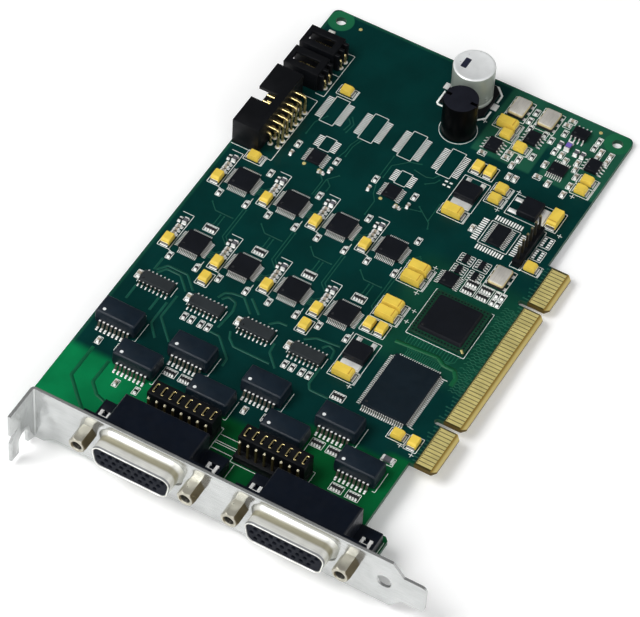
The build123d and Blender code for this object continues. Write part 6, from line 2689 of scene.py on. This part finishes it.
    def build(self, frames: Iterable[Box]) -> None:
        """Make the thin and the thick print.

        Args:
            frames: Parts and footprints that have a frame of their own.
        """
        self.capacitors()
        self.channels()
        self.chips()
        self.headers()
        for node, margin in self.outlines:
            for box in solids(node):
                self.thin.draw(box.outline(margin), True)
        for box in frames:
            self.thin.draw(box.outline(), True)
        self.thin.fit("legend_lines", (self.width, self.thick), self.bend, LEGEND_INK)
        self.bars.fit("legend_bars", (self.bold, self.thick), self.bend, LEGEND_INK)


@dataclass
class SolderJoints:
    """Joints of the through-board pins on the back, and the rings round them in front."""

    joint: Line = ((0.85, 0.0), (0.85, -0.06), (0.527, -0.34), (0.34, -0.88), (0.17, -1.1))
    joint_count: int = 10
    ring: Line = ((0.85, 0.0), (0.85, 0.05), (0.595, 0.14), (0.3, 0.2))
    ring_count: int = 12
    dsub_inset: float = 1.6
    fork_inset: float = 0.3
    fork_half: float = 1.15
    choke_half: float = 2.5

    def build(self, drops: Sequence[Flat]) -> None:
        """Make the joints.

        Args:
            drops: Place of each header pin that goes through the board.
        """
        places = list(drops)
        for letter in "ab":
            housing = Box.of(f"dsub_{letter}_housing")
            for row, count in enumerate(DSUB_ROWS):
                x = housing.hi[0] - self.dsub_inset - row * HEADER_PITCH
                for column in range(count):
                    places.append((x, housing.mid[1] + (column - (count - 1) / 2) * DSUB_PITCH))
            for box in solids(f"dsub_{letter}_board_locks"):
                for way in (-1, 1):
                    places.append((box.hi[0] - self.fork_inset, box.mid[1] + way * self.fork_half))
        x, y, _ = Box.of("choke").mid
        places.extend((x + way * self.choke_half, y) for way in (-1, 1))
        joints, rings = Scatter(), Scatter()
        for x, y in places:
            joints.put(x, y, -BOARD_THICK)
        for x, y in drops:
            rings.put(x, y)
        joints.fit("solder_joints", MeshMaker().lathe(ORIGIN, self.joint, self.joint_count), SOLDER_TIN)
        rings.fit("pin_rings", MeshMaker().lathe(ORIGIN, self.ring, self.ring_count), SOLDER_TIN)


@dataclass(frozen=True)
class Lamp:
    """Square soft lamp, with its place in metres and its power in watts."""

    name: str
    place: Point
    size: float
    power: float


@dataclass
class Studio:
    """Pale floor under the leaning card, soft lamps, pale surroundings and the camera.

    The floor's size and the aim of the lamps are in metres.
    """

    floor_size: float = 6.0
    floor_pivot: Flat = (118.25, -1.6)
    floor_slope: float = 0.0346
    floor_colour: Colour = (0.93, 0.93, 0.93)
    floor_roughness: float = 0.9
    floor_specular: float = 0.1
    floor_glow: Colour = (0.16, 0.16, 0.16)
    dark_way: Point = (0.5618, 0.2839, 0.7770)
    dark_span: Flat = (0.15, 0.8)
    dark_levels: Flat = (0.8, 0.1)
    lamps: tuple[Lamp, ...] = (
        Lamp("key", (-0.5, 0.6, 1.1), size=0.7, power=12.0),
        Lamp("fill", (-0.8, -0.6, 0.7), size=0.9, power=3.0),
    )
    aim: Point = (0.03, 0.045, 0.0)
    lens: float = 215.48
    sensor: float = 36.0
    far_limit: float = 20.0
    camera_place: Point = (-573.559, -252.252, 817.272)
    camera_ahead: Point = (0.561816, 0.283879, -0.777030)
    camera_up: Point = (0.662460, 0.408198, 0.628109)

    def floor(self) -> None:
        """Lay the floor against the bracket's head and the far end."""
        pivot_x, pivot_z = self.floor_pivot
        corners = []
        for x, y in Box.around(ORIGIN, (self.floor_size, self.floor_size)).outline():
            corners.append((x, y, (pivot_z + (x / MM - pivot_x) * self.floor_slope) * MM))
        mesh = bpy.data.meshes.new("floor")
        mesh.from_pydata(corners, [], [(0, 1, 2, 3)])
        made = bpy.data.materials.new("floor_paper")
        made.use_nodes = True
        wiring = Wiring(made.node_tree)
        path = wiring.add("ShaderNodeLightPath").outputs
        rays = (path[f"Is {kind} Ray"] for kind in ("Camera", "Glossy", "Transmission"))
        seen = wiring.math("MAXIMUM", *rays)
        feeds = {
            "Base Color": self.floor_colour, "Roughness": self.floor_roughness,
            "Specular IOR Level": self.floor_specular, "Emission Strength": 1.0,
            "Emission Color": wiring.mix(seen, (0.0, 0.0, 0.0), self.floor_glow),
        }
        for label, feed in feeds.items():
            wiring.plug(made.node_tree.nodes["Principled BSDF"].inputs[label], feed)
        mesh.materials.append(made)
        link("floor", mesh)

    def hang(self, lamp: Lamp) -> None:
        """Hang a lamp that points at the card.

        Args:
            lamp: The lamp.
        """
        light = bpy.data.lights.new(lamp.name, "AREA")
        light.size = lamp.size
        light.energy = lamp.power
        turn = (Vector(self.aim) - Vector(lamp.place)).to_track_quat("-Z", "Y").to_matrix().to_4x4()
        link(lamp.name, light).matrix_world = Matrix.Translation(lamp.place) @ turn

    def world(self) -> None:
        """Surround the card with pale light that fades in the direction that its flat tops reflect."""
        world = bpy.data.worlds.new("studio")
        bpy.context.scene.world = world
        world.use_nodes = True
        wiring = Wiring(world.node_tree)
        way = wiring.add("ShaderNodeTexCoord").outputs["Generated"]
        facing = wiring.measure("DOT_PRODUCT", way, self.dark_way)
        background = world.node_tree.nodes["Background"].inputs
        wiring.plug(background["Color"], (1.0, 1.0, 1.0))
        wiring.plug(background["Strength"], wiring.ramp(facing, self.dark_span, *self.dark_levels))

    def camera(self) -> None:
        """Set the camera where the photograph was taken from."""
        data = bpy.data.cameras.new("camera")
        data.lens = self.lens
        data.sensor_width = self.sensor
        data.sensor_fit = "HORIZONTAL"
        data.clip_end = self.far_limit
        ahead, up = Vector(self.camera_ahead).normalized(), Vector(self.camera_up).normalized()
        right = ahead.cross(up).normalized()
        turn = Matrix((right, right.cross(ahead), -ahead)).transposed().to_4x4()
        camera = link("camera", data)
        camera.matrix_world = Matrix.Translation(Vector(self.camera_place) * MM) @ turn
        bpy.context.scene.camera = camera

    def build(self) -> None:
        """Set up the floor, the light and the camera."""
        self.floor()
        self.world()
        for lamp in self.lamps:
            self.hang(lamp)
        self.camera()
        bpy.context.scene.view_settings.view_transform = "Standard"


def main() -> None:
    """Build the card's pieces in order, then the studio."""
    logging.basicConfig(level=logging.INFO, format="%(name)s %(message)s")
    dress("circuit_board", BOARD_MASK)
    dress("edge_contacts_component_side", GOLD)
    dress("edge_contacts_solder_side", GOLD)
    headers, passives, pads = Headers(), Passives(), BarePads()
    assemblies = [
        Bracket(), DsubConnector("a"), DsubConnector("b"), Jackscrews(), headers, CanCapacitor(), Choke(),
        Transformers(), FlatChips(), LogicChip(), Regulators(), Oscillators(), Tantalums(), passives, pads,
        Copper(),
    ]
    for assembly in assemblies:
        assembly.build()
    Legend().build(passives.frames + pads.frames)
    SolderJoints().build(headers.drops)
    Studio().build()


if __name__ == "__main__":
    main()
